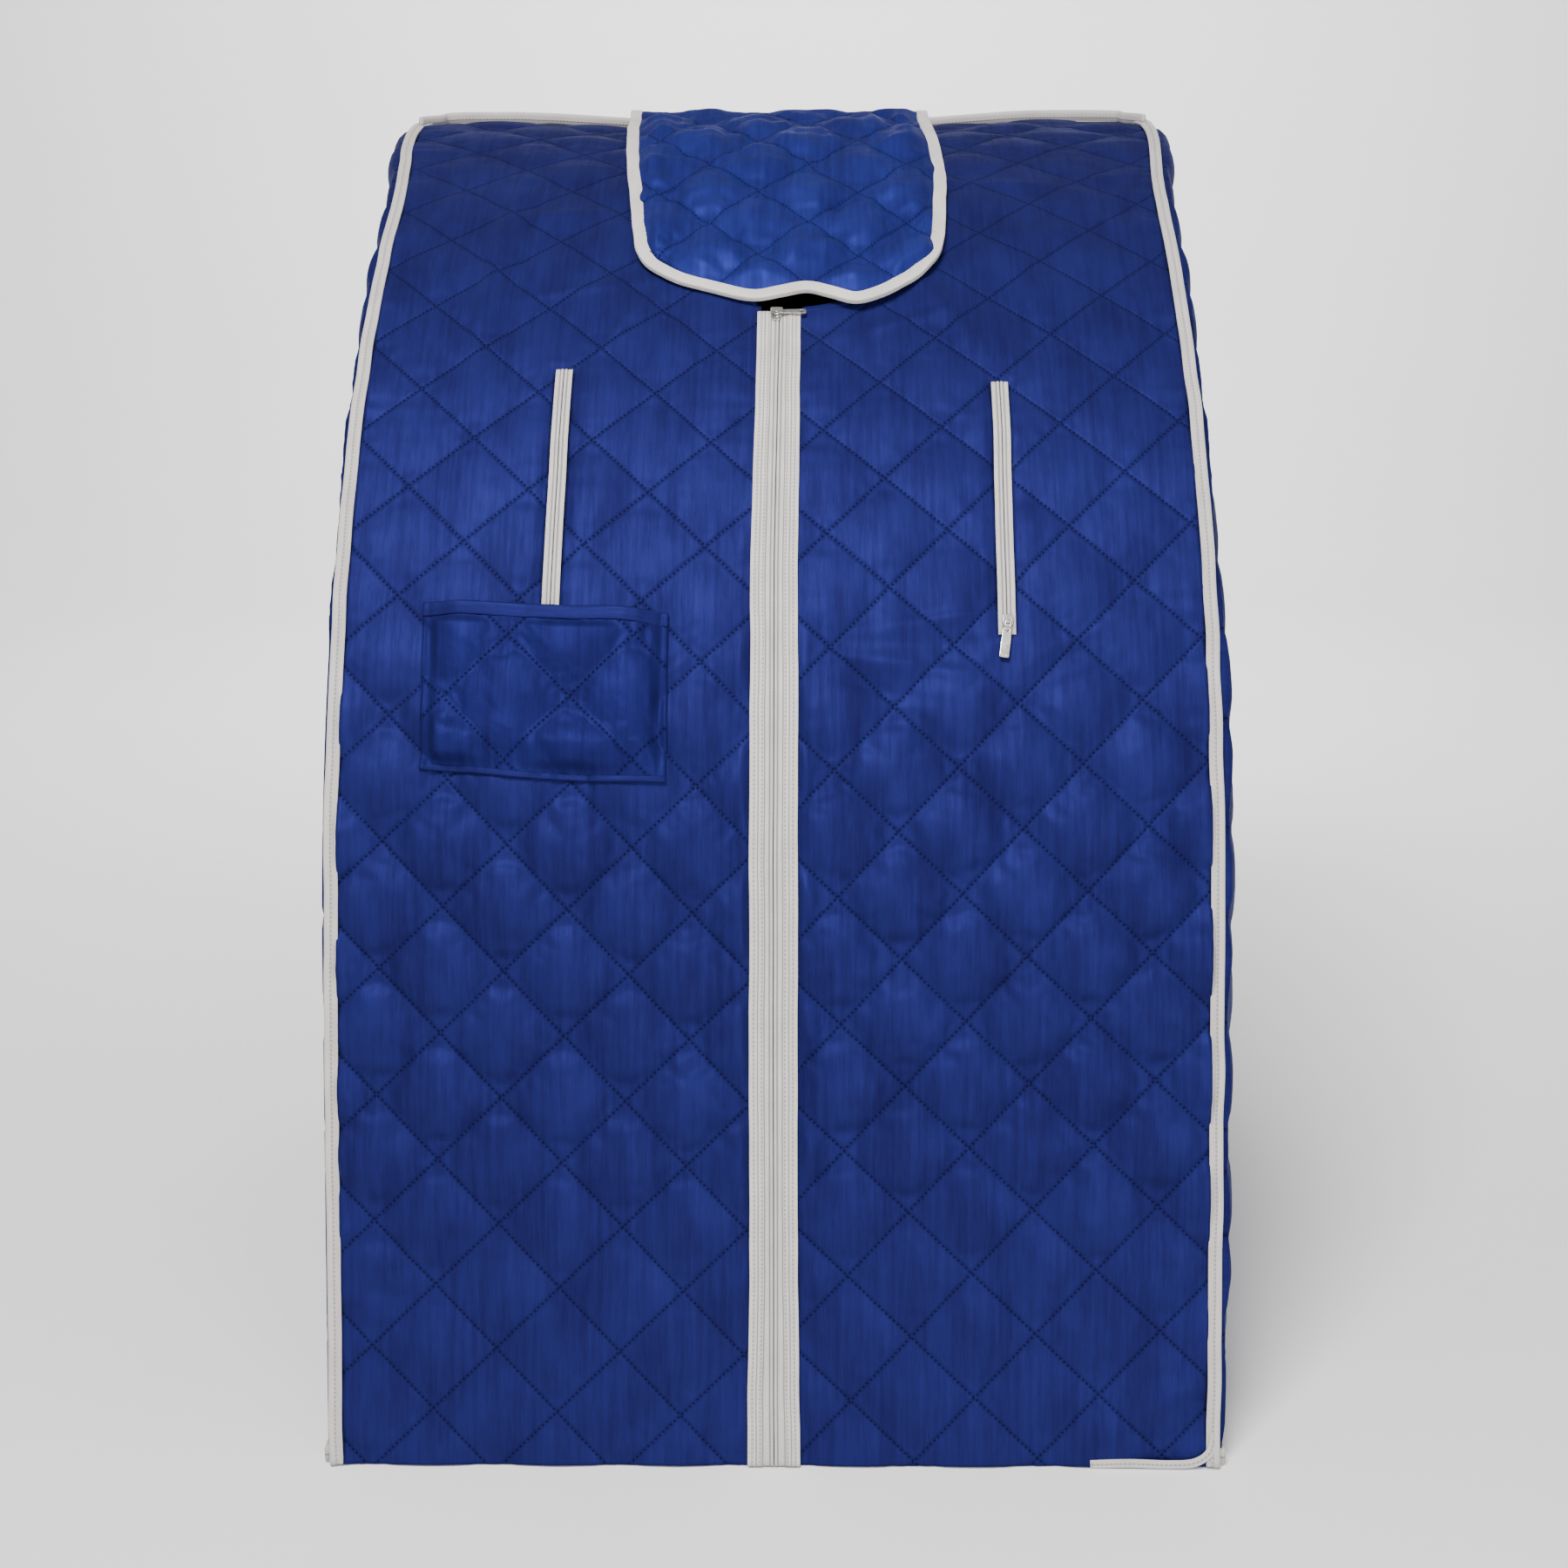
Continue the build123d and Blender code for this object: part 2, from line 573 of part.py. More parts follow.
with BuildPart() as box_screws:
    head_y = BOX_FRONT_Y - 0.1 - BOX_WALL
    with BuildSketch(Plane.XZ.offset(-head_y)):
        with Locations(*SCREW_SPOTS):
            Circle(2.8)
    extrude(amount=1.8)
    with BuildSketch(Plane.XZ.offset(-head_y - 1.0)):
        with Locations(*SCREW_SPOTS):
            Rectangle(3.6, 0.8)
    extrude(amount=1.0, mode=Mode.SUBTRACT)
    with BuildSketch(Plane.XZ.offset(-head_y)):
        with Locations(*SCREW_SPOTS):
            Circle(1.25)
    extrude(amount=-12)
save(box_screws, "control_box_screws")

with BuildPart() as power_board:
    block(box_rear_y - 34, 1.6, BOX_W - 34, BOX_H - 30, 2)
    with BuildSketch(Plane.XZ.offset(-(box_rear_y - 35.6))):
        with Locations((BOX_X - 38, BOX_Z + 8)):
            Rectangle(24, 20)
        with Locations((BOX_X + 30, BOX_Z - 10)):
            Rectangle(38, 22)
        with Locations((BOX_X - 8, BOX_Z + 4)):
            Circle(7)
    extrude(amount=14)
save(power_board, "power_board")

with BuildPart() as inlet:
    inlet_rear = REAR_Y + BEZEL_PROUD
    block(inlet_rear - 1, 24, INLET_W - 0.4, INLET_H - 0.4, 1.5, INLET_X)
    block(inlet_rear - 1, 16, INLET_W - 4, INLET_H - 4.5, 3, INLET_X, mode=Mode.SUBTRACT)
save(inlet, "power_inlet")

with BuildPart() as inlet_pins:
    with BuildSketch(Plane.XZ.offset(-(inlet_rear - 17))):
        with Locations((INLET_X - 7, BOX_Z - 1.5), (INLET_X, BOX_Z + 2.5), (INLET_X + 7, BOX_Z - 1.5)):
            Rectangle(2, 4)
    extrude(amount=-13)
save(inlet_pins, "power_inlet_pins")

SWITCH_FRAME = 2.0
ROCKER_TILT = 7.0
ROCKER_Y = REAR_Y + BEZEL_PROUD - 5
with BuildPart() as switch_frame:
    block(inlet_rear - 0.5, 22, SWITCH_W - 0.4, SWITCH_H - 0.4, 1.5, SWITCH_X)
    hollow = (SWITCH_W - 2 * SWITCH_FRAME, SWITCH_H - 2 * SWITCH_FRAME)
    block(inlet_rear - 0.5, 18, *hollow, 1, SWITCH_X, mode=Mode.SUBTRACT)
    with BuildSketch(Plane.YZ.offset(SWITCH_X - SWITCH_W / 2 + 0.5)):
        with Locations((ROCKER_Y - 3, BOX_Z)):
            Circle(1.6)
    extrude(amount=SWITCH_W - 1.0)
save(switch_frame, "power_switch_frame")

with BuildPart() as rocker:
    rocker_half = SWITCH_H / 2 - SWITCH_FRAME - 1.2
    tilted = Plane(
        origin=(SWITCH_X - SWITCH_W / 2 + SWITCH_FRAME + 0.6, ROCKER_Y - 3, BOX_Z),
        x_dir=(0, cos(radians(ROCKER_TILT)), sin(radians(ROCKER_TILT))),
        z_dir=(1, 0, 0),
    )
    rocker_width = SWITCH_W - 2 * SWITCH_FRAME - 1.2
    with BuildSketch(tilted):
        with BuildLine():
            Polyline((-4, -4), (5.5, -rocker_half + 1), (6.0, -rocker_half + 2))
            Polyline((-4, 4), (5.5, rocker_half - 1), (6.0, rocker_half - 2))
            Line((-4, -4), (-4, 4))
            ThreePointArc((6.0, -rocker_half + 2), (4.6, 0), (6.0, rocker_half - 2))
        make_face()
    extrude(amount=rocker_width)
    with BuildSketch(tilted.offset(-1)):
        Circle(1.68)
    extrude(amount=rocker_width + 2, mode=Mode.SUBTRACT)
save(rocker, "power_switch_rocker")
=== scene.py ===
"""Looks of the portable sauna: quilted satin cover, bindings, zips, flap, pocket and heaters.

Metres, in the frame's own axes: +Z up, the front faces -Y. The front and top of the cover are one
bow, and places on it are (x, s, h): across, along the bow from the floor, and height above it.
"""

import json
from math import atan2, cos, hypot, pi, radians, sin

import bpy
import numpy as np
from mathutils import Matrix, Vector


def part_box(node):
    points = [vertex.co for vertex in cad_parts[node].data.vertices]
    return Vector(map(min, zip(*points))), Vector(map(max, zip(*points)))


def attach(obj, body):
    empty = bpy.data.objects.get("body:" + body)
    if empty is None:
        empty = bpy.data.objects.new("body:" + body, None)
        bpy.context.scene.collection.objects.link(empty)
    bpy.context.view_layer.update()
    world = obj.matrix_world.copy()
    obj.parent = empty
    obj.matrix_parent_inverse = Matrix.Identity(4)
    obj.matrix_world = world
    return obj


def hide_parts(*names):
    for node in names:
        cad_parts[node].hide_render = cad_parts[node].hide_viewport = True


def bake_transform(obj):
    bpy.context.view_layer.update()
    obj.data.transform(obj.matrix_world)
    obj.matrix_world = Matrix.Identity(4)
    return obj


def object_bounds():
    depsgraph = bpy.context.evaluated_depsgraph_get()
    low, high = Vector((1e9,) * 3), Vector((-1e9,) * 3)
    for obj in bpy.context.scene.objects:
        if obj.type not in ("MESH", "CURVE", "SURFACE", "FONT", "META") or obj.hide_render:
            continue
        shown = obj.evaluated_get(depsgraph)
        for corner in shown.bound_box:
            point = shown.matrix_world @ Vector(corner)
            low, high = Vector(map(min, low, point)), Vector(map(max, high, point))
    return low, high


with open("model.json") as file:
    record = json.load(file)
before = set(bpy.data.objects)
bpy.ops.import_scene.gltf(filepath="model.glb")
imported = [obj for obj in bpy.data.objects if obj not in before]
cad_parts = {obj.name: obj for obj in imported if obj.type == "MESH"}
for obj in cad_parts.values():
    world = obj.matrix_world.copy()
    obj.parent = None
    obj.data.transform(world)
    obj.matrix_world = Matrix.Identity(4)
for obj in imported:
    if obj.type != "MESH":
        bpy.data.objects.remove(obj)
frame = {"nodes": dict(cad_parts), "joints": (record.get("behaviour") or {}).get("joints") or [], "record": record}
CAD_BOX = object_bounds()

# ---------------------------------------------------------------- places read from the frame
JOINTS = {joint["name"]: joint for joint in frame["joints"]}
FOOT = Vector(JOINTS["right_front_swing"]["pos_m"])
SWING_AXIS = Vector(JOINTS["right_front_swing"]["axis"])
CENTRE = Vector(JOINTS["main_zip_run"]["pos_m"])
MAIN_PIVOT = Vector(JOINTS["main_pull_swivel"]["pos_m"])
LEAN = atan2(SWING_AXIS.y, SWING_AXIS.z)
RADIUS = hypot(MAIN_PIVOT.y - CENTRE.y, MAIN_PIVOT.z - CENTRE.z)
STRAIGHT = (CENTRE.y - FOOT.y) * sin(LEAN) + CENTRE.z * cos(LEAN)
SIDES = {"left": -1, "right": 1}
SEAM_X = FOOT.x
SIDE_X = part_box("right_side_panel")[1].x
REAR_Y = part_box("rear_panel")[1].y
FLAP_AXIS = Vector(JOINTS["neck_flap_fold"]["pos_m"])
FLAP_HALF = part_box("neck_flap_binding")[1].x
BOW_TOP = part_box("top_panel")[1].z
THICK = REAR_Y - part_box("rear_panel")[0].y


def bow(s, h=0.0):
    """(y, z) of points on the bow, for arrays or numbers."""
    s, h = np.asarray(s, float), np.asarray(h, float)
    lean = LEAN + np.maximum(0.0, s - STRAIGHT) / RADIUS
    on_line = s <= STRAIGHT
    y = np.where(on_line, FOOT.y + s * sin(LEAN), CENTRE.y - RADIUS * np.cos(lean))
    z = np.where(on_line, s * cos(LEAN), CENTRE.z + RADIUS * np.sin(lean))
    return y - h * np.cos(lean), z + h * np.sin(lean)


def bow_s(y, z):
    """The distance along the bow of the place nearest to a point above its arc."""
    return STRAIGHT + (atan2(z - CENTRE.z, CENTRE.y - y) - LEAN) * RADIUS


def xyz(x, y, z):
    """Points or directions (..., 3) from arrays or numbers."""
    return np.stack(np.broadcast_arrays(x, y, z), -1)


def on_bow(x, s, h=0.0):
    """Points (..., 3) on the bow."""
    return xyz(np.asarray(x, float), *bow(s, h))


BOW_END = bow_s(REAR_Y, BOW_TOP)
NECK_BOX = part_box("neck_opening_binding")
NECK_S = bow_s((NECK_BOX[0].y + NECK_BOX[1].y) / 2, (NECK_BOX[0].z + NECK_BOX[1].z) / 2 + 0.0045)
ZIP_TOP = bow_s(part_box("upper_zip_tapes")[1].y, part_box("upper_zip_tapes")[1].z)
# the stretch of the front that bends when a half swings open
BEND_FROM, BEND_TO = on_bow(0, 0.27), on_bow(0, 0.54)

# ---------------------------------------------------------------- camera, lights, floor
LENS_MM, SENSOR_MM = 52.3, 36.0
CAMERA_AT = Vector((0.0302, -2.0219, 0.9971))
CAMERA_PITCH, CAMERA_YAW, CAMERA_ROLL = radians(15.27), radians(0.727), radians(-0.199)
SCENE = bpy.context.scene


def link(name, data):
    """A new object in the scene."""
    obj = bpy.data.objects.new(name, data)
    SCENE.collection.objects.link(obj)
    return obj


def add_camera():
    """The camera, at the photograph's viewing angle."""
    data = bpy.data.cameras.new("camera")
    data.lens, data.sensor_width = LENS_MM, SENSOR_MM
    camera = link("camera", data)
    turn = Matrix.Rotation(CAMERA_YAW, 4, "Z")
    tilt = Matrix.Rotation(pi / 2 - CAMERA_PITCH, 4, "X")
    roll = Matrix.Rotation(CAMERA_ROLL, 4, "Z")
    camera.matrix_world = Matrix.Translation(CAMERA_AT) @ turn @ tilt @ roll
    SCENE.camera = camera


def add_light(name, place, target, size, watts):
    """A soft square light that faces a target."""
    data = bpy.data.lights.new(name, "AREA")
    data.shape, data.size, data.energy = "SQUARE", size, watts
    light = link(name, data)
    aim = (Vector(target) - Vector(place)).to_track_quat("-Z", "Y")
    light.matrix_world = Matrix.Translation(place) @ aim.to_matrix().to_4x4()


add_camera()

# ---------------------------------------------------------------- material nodes

class Nodes:
    """Builds one material's node tree."""

    def __init__(self, name, **settings):
        self.material = bpy.data.materials.new(name)
        self.material.use_nodes = True
        self.tree = self.material.node_tree
        self.tree.nodes.clear()
        self.out = self.tree.nodes.new("ShaderNodeOutputMaterial")
        self.shader = self.tree.nodes.new("ShaderNodeBsdfPrincipled")
        self.tree.links.new(self.shader.outputs[0], self.out.inputs["Surface"])
        for socket, value in settings.items():
            self.shader.inputs[socket.replace("_", " ")].default_value = value

    def put(self, socket, value):
        """Sets an input socket to a number, a colour or another node's output."""
        if isinstance(value, bpy.types.NodeSocket):
            self.tree.links.new(value, socket)
        else:
            socket.default_value = value

    def math(self, operation, a, b=0.0, c=0.0):
        """A math node's output."""
        node = self.tree.nodes.new("ShaderNodeMath")
        node.operation = operation
        for socket, value in zip(node.inputs, (a, b, c)):
            self.put(socket, value)
        return node.outputs[0]

    def plus(self, a, b):
        return self.math("ADD", a, b)

    def minus(self, a, b):
        return self.math("SUBTRACT", a, b)

    def times(self, a, b):
        return self.math("MULTIPLY", a, b)

    def wave(self, value):
        """A triangle wave from 0 to 0.5 and back, once for each whole number."""
        return self.math("PINGPONG", value, 0.5)

    def axes(self, attribute=None):
        """The x, y and z of a named attribute, or of object coordinates."""
        if attribute:
            node = self.tree.nodes.new("ShaderNodeAttribute")
            node.attribute_name = attribute
            vector = node.outputs["Vector"]
        else:
            vector = self.tree.nodes.new("ShaderNodeTexCoord").outputs["Object"]
        split = self.tree.nodes.new("ShaderNodeSeparateXYZ")
        self.put(split.inputs[0], vector)
        return split.outputs[:3]

    def noise(self, axes, scales, detail=2.0, roughness=0.5):
        """Noise over three coordinates, each times its own scale."""
        vector = self.tree.nodes.new("ShaderNodeCombineXYZ")
        for socket, axis, scale in zip(vector.inputs, axes, scales):
            self.put(socket, self.times(axis, scale))
        node = self.tree.nodes.new("ShaderNodeTexNoise")
        self.put(node.inputs["Vector"], vector.outputs[0])
        for name, value in (("Scale", 1.0), ("Detail", detail), ("Roughness", roughness)):
            node.inputs[name].default_value = value
        return node.outputs["Fac"]

    def ramp(self, value, low, high, to_low=0.0, to_high=1.0):
        """A smooth step between two numbers, as the value goes from low to high."""
        node = self.tree.nodes.new("ShaderNodeMapRange")
        node.interpolation_type = "SMOOTHSTEP"
        for socket, number in zip(node.inputs, (value, low, high, to_low, to_high)):
            self.put(socket, number)
        return node.outputs[0]

    def mix(self, factor, low, high):
        """A colour between two colours."""
        node = self.tree.nodes.new("ShaderNodeMix")
        node.data_type = "RGBA"
        self.put(node.inputs["Factor"], factor)
        for name, colour in (("A", low), ("B", high)):
            socket = [s for s in node.inputs if s.name == name and s.type == "RGBA"][0]
            self.put(socket, colour if isinstance(colour, bpy.types.NodeSocket) else (*colour, 1.0))
        return [s for s in node.outputs if s.type == "RGBA"][0]

    def bump(self, height, distance, strength=1.0, below=None):
        """A bumped normal, laid over another one."""
        node = self.tree.nodes.new("ShaderNodeBump")
        node.inputs["Strength"].default_value = strength
        node.inputs["Distance"].default_value = distance
        self.put(node.inputs["Height"], height)
        if below is not None:
            self.put(node.inputs["Normal"], below)
        return node.outputs[0]

    def finish(self, colour=None, roughness=None, normal=None):
        """The finished material."""
        for name, value in (("Base Color", colour), ("Roughness", roughness), ("Normal", normal)):
            if value is not None:
                self.put(self.shader.inputs[name], value)
        return self.material


QUILT_PITCH = 0.1  # between crossings of the quilting's sewn lines, along either axis
STITCH = 0.0042


def quilt_lines(nodes, u, v):
    """(mask of the holes between stitches, mask of the sewn dip), for quilting coordinates u and v."""
    holes, dips = [], []
    for across, along in (("ADD", "SUBTRACT"), ("SUBTRACT", "ADD")):
        lines = nodes.times(nodes.math(across, v, u), 1 / QUILT_PITCH)
        near = nodes.times(nodes.wave(lines), QUILT_PITCH / 2**0.5)
        run = nodes.times(nodes.math(along, v, u), 0.5**0.5 / STITCH)
        gap = nodes.ramp(nodes.wave(run), 0.22, 0.36)
        holes.append(nodes.times(nodes.ramp(near, 0.0004, 0.0013, 1.0, 0.0), gap))
        dips.append(nodes.ramp(near, 0.0, 0.0034, 1.0, 0.0))
    return nodes.math("MAXIMUM", *holes), nodes.math("MAXIMUM", *dips)


def satin(name, low, high, roughness=0.54, sheen=0.03, quilted=True):
    """Quilted satin with warp streaks, and sewn lines whose dip and gaps between stitches are darkened as painted
    shade.
    """
    nodes = Nodes(
        name, Metallic=0.3, Sheen_Weight=sheen, Sheen_Roughness=0.4, Sheen_Tint=(0.2, 0.35, 1.0, 1.0),
    )
    nodes.shader.inputs["Specular IOR Level"].default_value = 0.09
    nodes.shader.inputs["Specular Tint"].default_value = (0.10, 0.14, 0.45, 1.0)
    at = nodes.axes("cloth")
    streaks = nodes.noise(at, (230, 11, 1), 4.0, 0.65)
    slubs = nodes.noise(at, (1500, 60, 1))
    clouds = nodes.noise(at, (26, 12, 1), 3.0)
    tone = nodes.plus(nodes.times(streaks, 0.4), nodes.times(slubs, 0.2))
    tone = nodes.plus(tone, nodes.times(clouds, 0.4))
    colour = nodes.mix(nodes.ramp(tone, 0.34, 0.66), low, high)
    rough = nodes.ramp(tone, 0.3, 0.7, roughness + 0.05, roughness - 0.05)
    weave = nodes.noise(at, (2600, 700, 1), 1.0)
    fine = nodes.bump(nodes.plus(weave, nodes.times(streaks, 0.8)), 0.0003, 0.35)
    if not quilted:
        return nodes.finish(colour, rough, fine)
    holes, dip = quilt_lines(nodes, *nodes.axes("quilting")[:2])
    # painted shade: the sewn line's dip is darkened where shade would lie
    colour = nodes.mix(nodes.times(dip, 0.22), colour, tuple(0.4 * c for c in low))
    # painted shade: the gaps between stitches, down in the sewn line, are darkened further
    colour = nodes.mix(nodes.times(holes, 0.6), colour, tuple(0.2 * c for c in low))
    height = nodes.minus(nodes.times(holes, -0.6), nodes.times(dip, 0.6))
    return nodes.finish(colour, rough, nodes.bump(height, 0.0012, 0.6, fine))


def ribbon(name, low, high, stitches=(), rib=0.0011, roughness=0.8, grooves=()):
    """Woven tape with ribs across it, rows of stitches, and grooves at places across its width that are darkened
    as painted shade.
    """
    nodes = Nodes(name, Sheen_Weight=0.25, Sheen_Roughness=0.5)
    at = w, t, _ = nodes.axes("cloth")
    ribs = nodes.wave(nodes.times(t, 1 / rib))
    grain = nodes.noise(at, (900,) * 3)
    soil = nodes.noise(at, (60, 25, 60), 3.0)
    tone = nodes.plus(nodes.times(ribs, 0.5), nodes.times(grain, 0.3))
    tone = nodes.plus(tone, nodes.times(soil, 0.45))
    colour = nodes.mix(nodes.ramp(tone, 0.25, 0.75), low, high)
    height = nodes.plus(ribs, nodes.times(grain, 0.6))
    normal = nodes.bump(height, 0.0003, 0.5)
    dash = nodes.ramp(nodes.wave(nodes.times(t, 1 / 0.0036)), 0.1, 0.2)
    for place in stitches:
        off = nodes.math("ABSOLUTE", nodes.minus(w, place))
        row = nodes.ramp(off, 0.0004, 0.001, 1.0, 0.0)
        hole = nodes.times(row, nodes.minus(1.0, dash))
        colour = nodes.mix(nodes.times(row, 0.3), colour, tuple(0.6 * c for c in low))
        colour = nodes.mix(nodes.times(hole, 0.7), colour, tuple(0.3 * c for c in low))
        normal = nodes.bump(nodes.times(row, -1.0), 0.0007, 0.6, normal)
    for place in grooves:
        off = nodes.math("ABSOLUTE", nodes.minus(nodes.math("ABSOLUTE", w), place))
        groove = nodes.ramp(off, 0.0002, 0.0009, 1.0, 0.0)
        # painted shade: the colour is darkened along each groove, where shade would lie
        colour = nodes.mix(nodes.times(groove, 0.75), colour, tuple(0.35 * c for c in low))
    return nodes.finish(colour, roughness, normal)


def lining(name, low, high, cell=0.0016, roughness=0.75, quilted=True):
    """Dark woven polyester, with the quilting's sewn lines where it has any."""
    nodes = Nodes(name, Sheen_Weight=0.2, Sheen_Roughness=0.5)
    at = u, v, _ = nodes.axes("cloth")
    warp = nodes.wave(nodes.times(u, 1 / cell))
    weft = nodes.wave(nodes.times(v, 1 / cell))
    grain = nodes.noise(at, (300,) * 3, 3.0)
    weave = nodes.plus(nodes.times(warp, weft), nodes.times(grain, 0.5))
    colour = nodes.mix(nodes.ramp(weave, 0.15, 0.55), low, high)
    normal = nodes.bump(weave, 0.0004, 0.5)
    if quilted:
        holes, dip = quilt_lines(nodes, *nodes.axes("quilting")[:2])
        colour = nodes.mix(nodes.times(holes, 0.7), colour, tuple(2.5 * c for c in high))
        normal = nodes.bump(nodes.times(dip, -1.0), 0.001, 0.5, normal)
    return nodes.finish(colour, roughness, normal)


def metal(name, low, high, roughness=0.25):
    """Plated or brushed metal with fine scratches and handling marks."""
    nodes = Nodes(name, Metallic=1.0)
    at = nodes.axes()
    scratches = nodes.noise(at, (900, 3000, 900), 3.0)
    marks = nodes.noise(at, (120,) * 3, 4.0)
    colour = nodes.mix(nodes.ramp(marks, 0.35, 0.7), low, high)
    rough = nodes.plus(roughness - 0.12, nodes.times(scratches, 0.28))
    return nodes.finish(colour, rough, nodes.bump(scratches, 0.00006, 0.5))


def plastic(name, low, high, roughness=0.5, grain=1400.0, depth=0.0001):
    """Moulded plastic or rubber with a spark-eroded grain."""
    nodes = Nodes(name)
    at = nodes.axes()
    texture = nodes.noise(at, (grain,) * 3, 3.0, 0.6)
    wear = nodes.noise(at, (35,) * 3, 4.0)
    colour = nodes.mix(nodes.ramp(wear, 0.35, 0.7), low, high)
    rough = nodes.plus(roughness - 0.08, nodes.times(wear, 0.16))
    return nodes.finish(colour, rough, nodes.bump(texture, depth, 0.6))


def paint(name, low, high, roughness=0.35):
    """Powder coat with orange peel."""
    nodes = Nodes(name, Coat_Weight=0.2, Coat_Roughness=0.2)
    at = nodes.axes()
    peel = nodes.noise(at, (420,) * 3)
    dust = nodes.noise(at, (22,) * 3, 4.0)
    colour = nodes.mix(nodes.ramp(dust, 0.4, 0.7), high, low)
    rough = nodes.plus(roughness, nodes.times(dust, 0.15))
    return nodes.finish(colour, rough, nodes.bump(peel, 0.0002, 0.5))


NAVY, ROYAL = (0.0082, 0.0080, 0.056), (0.0128, 0.0142, 0.093)
COVER = satin("cover_satin", NAVY, ROYAL)
# painted light: the flap's satin is a lighter copy of the cover's satin
LIT_FLAP_SATIN = satin("lit_flap_satin", (0.0108, 0.0128, 0.089), (0.0168, 0.0228, 0.148), 0.50, 0.03)
# painted shade: the pocket's satin is a darker copy of the cover's satin
SHADED_POCKET_SATIN = satin("shaded_pocket_satin", (0.0070, 0.0068, 0.052), (0.0108, 0.0122, 0.086), 0.54, 0.03)
HEM_SATIN = satin("hem_satin", NAVY, ROYAL, quilted=False)
LINING = lining("black_lining", (0.004, 0.004, 0.005), (0.014, 0.014, 0.017))
FLOOR_CLOTH = lining("floor_cloth", (0.006, 0.006, 0.007), (0.02, 0.02, 0.023), 0.002, 0.6, False)
HEATER_CLOTH = lining("heater_cloth", (0.008, 0.008, 0.009), (0.03, 0.03, 0.033), 0.0026, 0.8, False)
TAPE = ribbon("grey_tape", (0.37, 0.345, 0.33), (0.54, 0.505, 0.485), (0.0,))
# the zip tapes' grooves are painted darker as shade
ZIP_TAPE = ribbon(
    "zip_tape", (0.40, 0.375, 0.355), (0.62, 0.585, 0.56), (0.0152, 0.0090), grooves=(0.0071, 0.0121),
)
ZIP_CLOTH = ribbon("zip_cloth", (0.38, 0.36, 0.34), (0.56, 0.54, 0.51), (), 0.0009, 0.7, (0.0, 0.0031))
NICKEL = metal("nickel", (0.50, 0.485, 0.46), (0.78, 0.76, 0.73), 0.18)
TUBE_PAINT = paint("tube_paint", (0.55, 0.55, 0.54), (0.72, 0.72, 0.71))
CORNER_PLASTIC = plastic("corner_plastic", (0.012, 0.012, 0.013), (0.028, 0.028, 0.03))
STEEL = metal("ferrule_steel", (0.45, 0.45, 0.45), (0.62, 0.62, 0.62), 0.35)
BOX_PLASTIC = plastic("box_plastic", (0.014, 0.014, 0.016), (0.03, 0.03, 0.034), 0.45)
BRASS = metal("pin_brass", (0.55, 0.40, 0.16), (0.75, 0.58, 0.28), 0.25)
BOARD = plastic("circuit_board", (0.008, 0.08, 0.03), (0.02, 0.16, 0.07), 0.35)
ROCKER = plastic("rocker_plastic", (0.35, 0.012, 0.008), (0.5, 0.02, 0.012), 0.28)
PAD_RUBBER = plastic("pad_rubber", (0.012, 0.012, 0.013), (0.03, 0.03, 0.032), 0.7, 900.0, 0.0003)

# ---------------------------------------------------------------- grids and paths
def lengths(path):
    """How far along a path each of its points is."""
    return np.concatenate([[0], np.cumsum(np.linalg.norm(np.diff(path, axis=0), axis=1))])


def grid_cells(grid, keep=...):
    """The four corners of the cells of a grid of point numbers."""
    return np.stack([c[keep] for c in (grid[:-1, :-1], grid[1:, :-1], grid[1:, 1:], grid[:-1, 1:])], -1)


def centres(values):
    """Values at the middles of a grid's cells."""
    return (values[:-1, :-1] + values[1:, 1:]) / 2


# ---------------------------------------------------------------- relief
LATTICE = 256
TABLES = {}


def between(table, i, j, fa, fb):
    """Values between the entries (i, j) of a table and the next ones, wrapped round its edges."""
    n = len(table)
    low = table[i % n, j % n] * (1 - fb) + table[i % n, (j + 1) % n] * fb
    high = table[(i + 1) % n, j % n] * (1 - fb) + table[(i + 1) % n, (j + 1) % n] * fb
    return low * (1 - fa) + high * fa


def noise(u, v, size_u, size_v, seed):
    """Smooth noise from -1 to 1, whose lumps have the given sizes."""
    if seed not in TABLES:
        TABLES[seed] = np.random.RandomState(seed).rand(LATTICE, LATTICE) * 2 - 1
    table = TABLES[seed]
    a, b = np.broadcast_arrays(u / size_u, v / size_v)
    i, j = np.floor(a).astype(int), np.floor(b).astype(int)
    fa, fb = a - i, b - j
    fa, fb = fa * fa * (3 - 2 * fa), fb * fb * (3 - 2 * fb)
    return between(table, i, j, fa, fb)


def smooth(value, low, high):
    """0 below low, 1 above high, smooth between."""
    t = np.clip((value - low) / (high - low), 0, 1)
    return t * t * (3 - 2 * t)


def beyond(off, half):
    """How far outside a band a place is, from its distance to the band's middle."""
    return np.maximum(0, np.abs(off) - half)


def bell(off, width):
    """1 at the middle, fading to both sides."""
    return np.exp(-((off / width) ** 2))


# the simulated square of quilting, the rim that is cut off it, and its cloth's grid
PATCH, PATCH_RIM, PATCH_CELL = 0.3, 0.05, 0.0033
SEWN_HALF, UNEVEN = 0.0017, 0.0009
SIM_FRAMES = 24


def line_distance(u, v):
    """How far places of the quilting are from its nearest sewn line."""
    parts = [across / QUILT_PITCH - np.floor(across / QUILT_PITCH) for across in (u + v, v - u)]
    return np.min([np.minimum(part, 1 - part) * QUILT_PITCH / 2**0.5 for part in parts], axis=0)


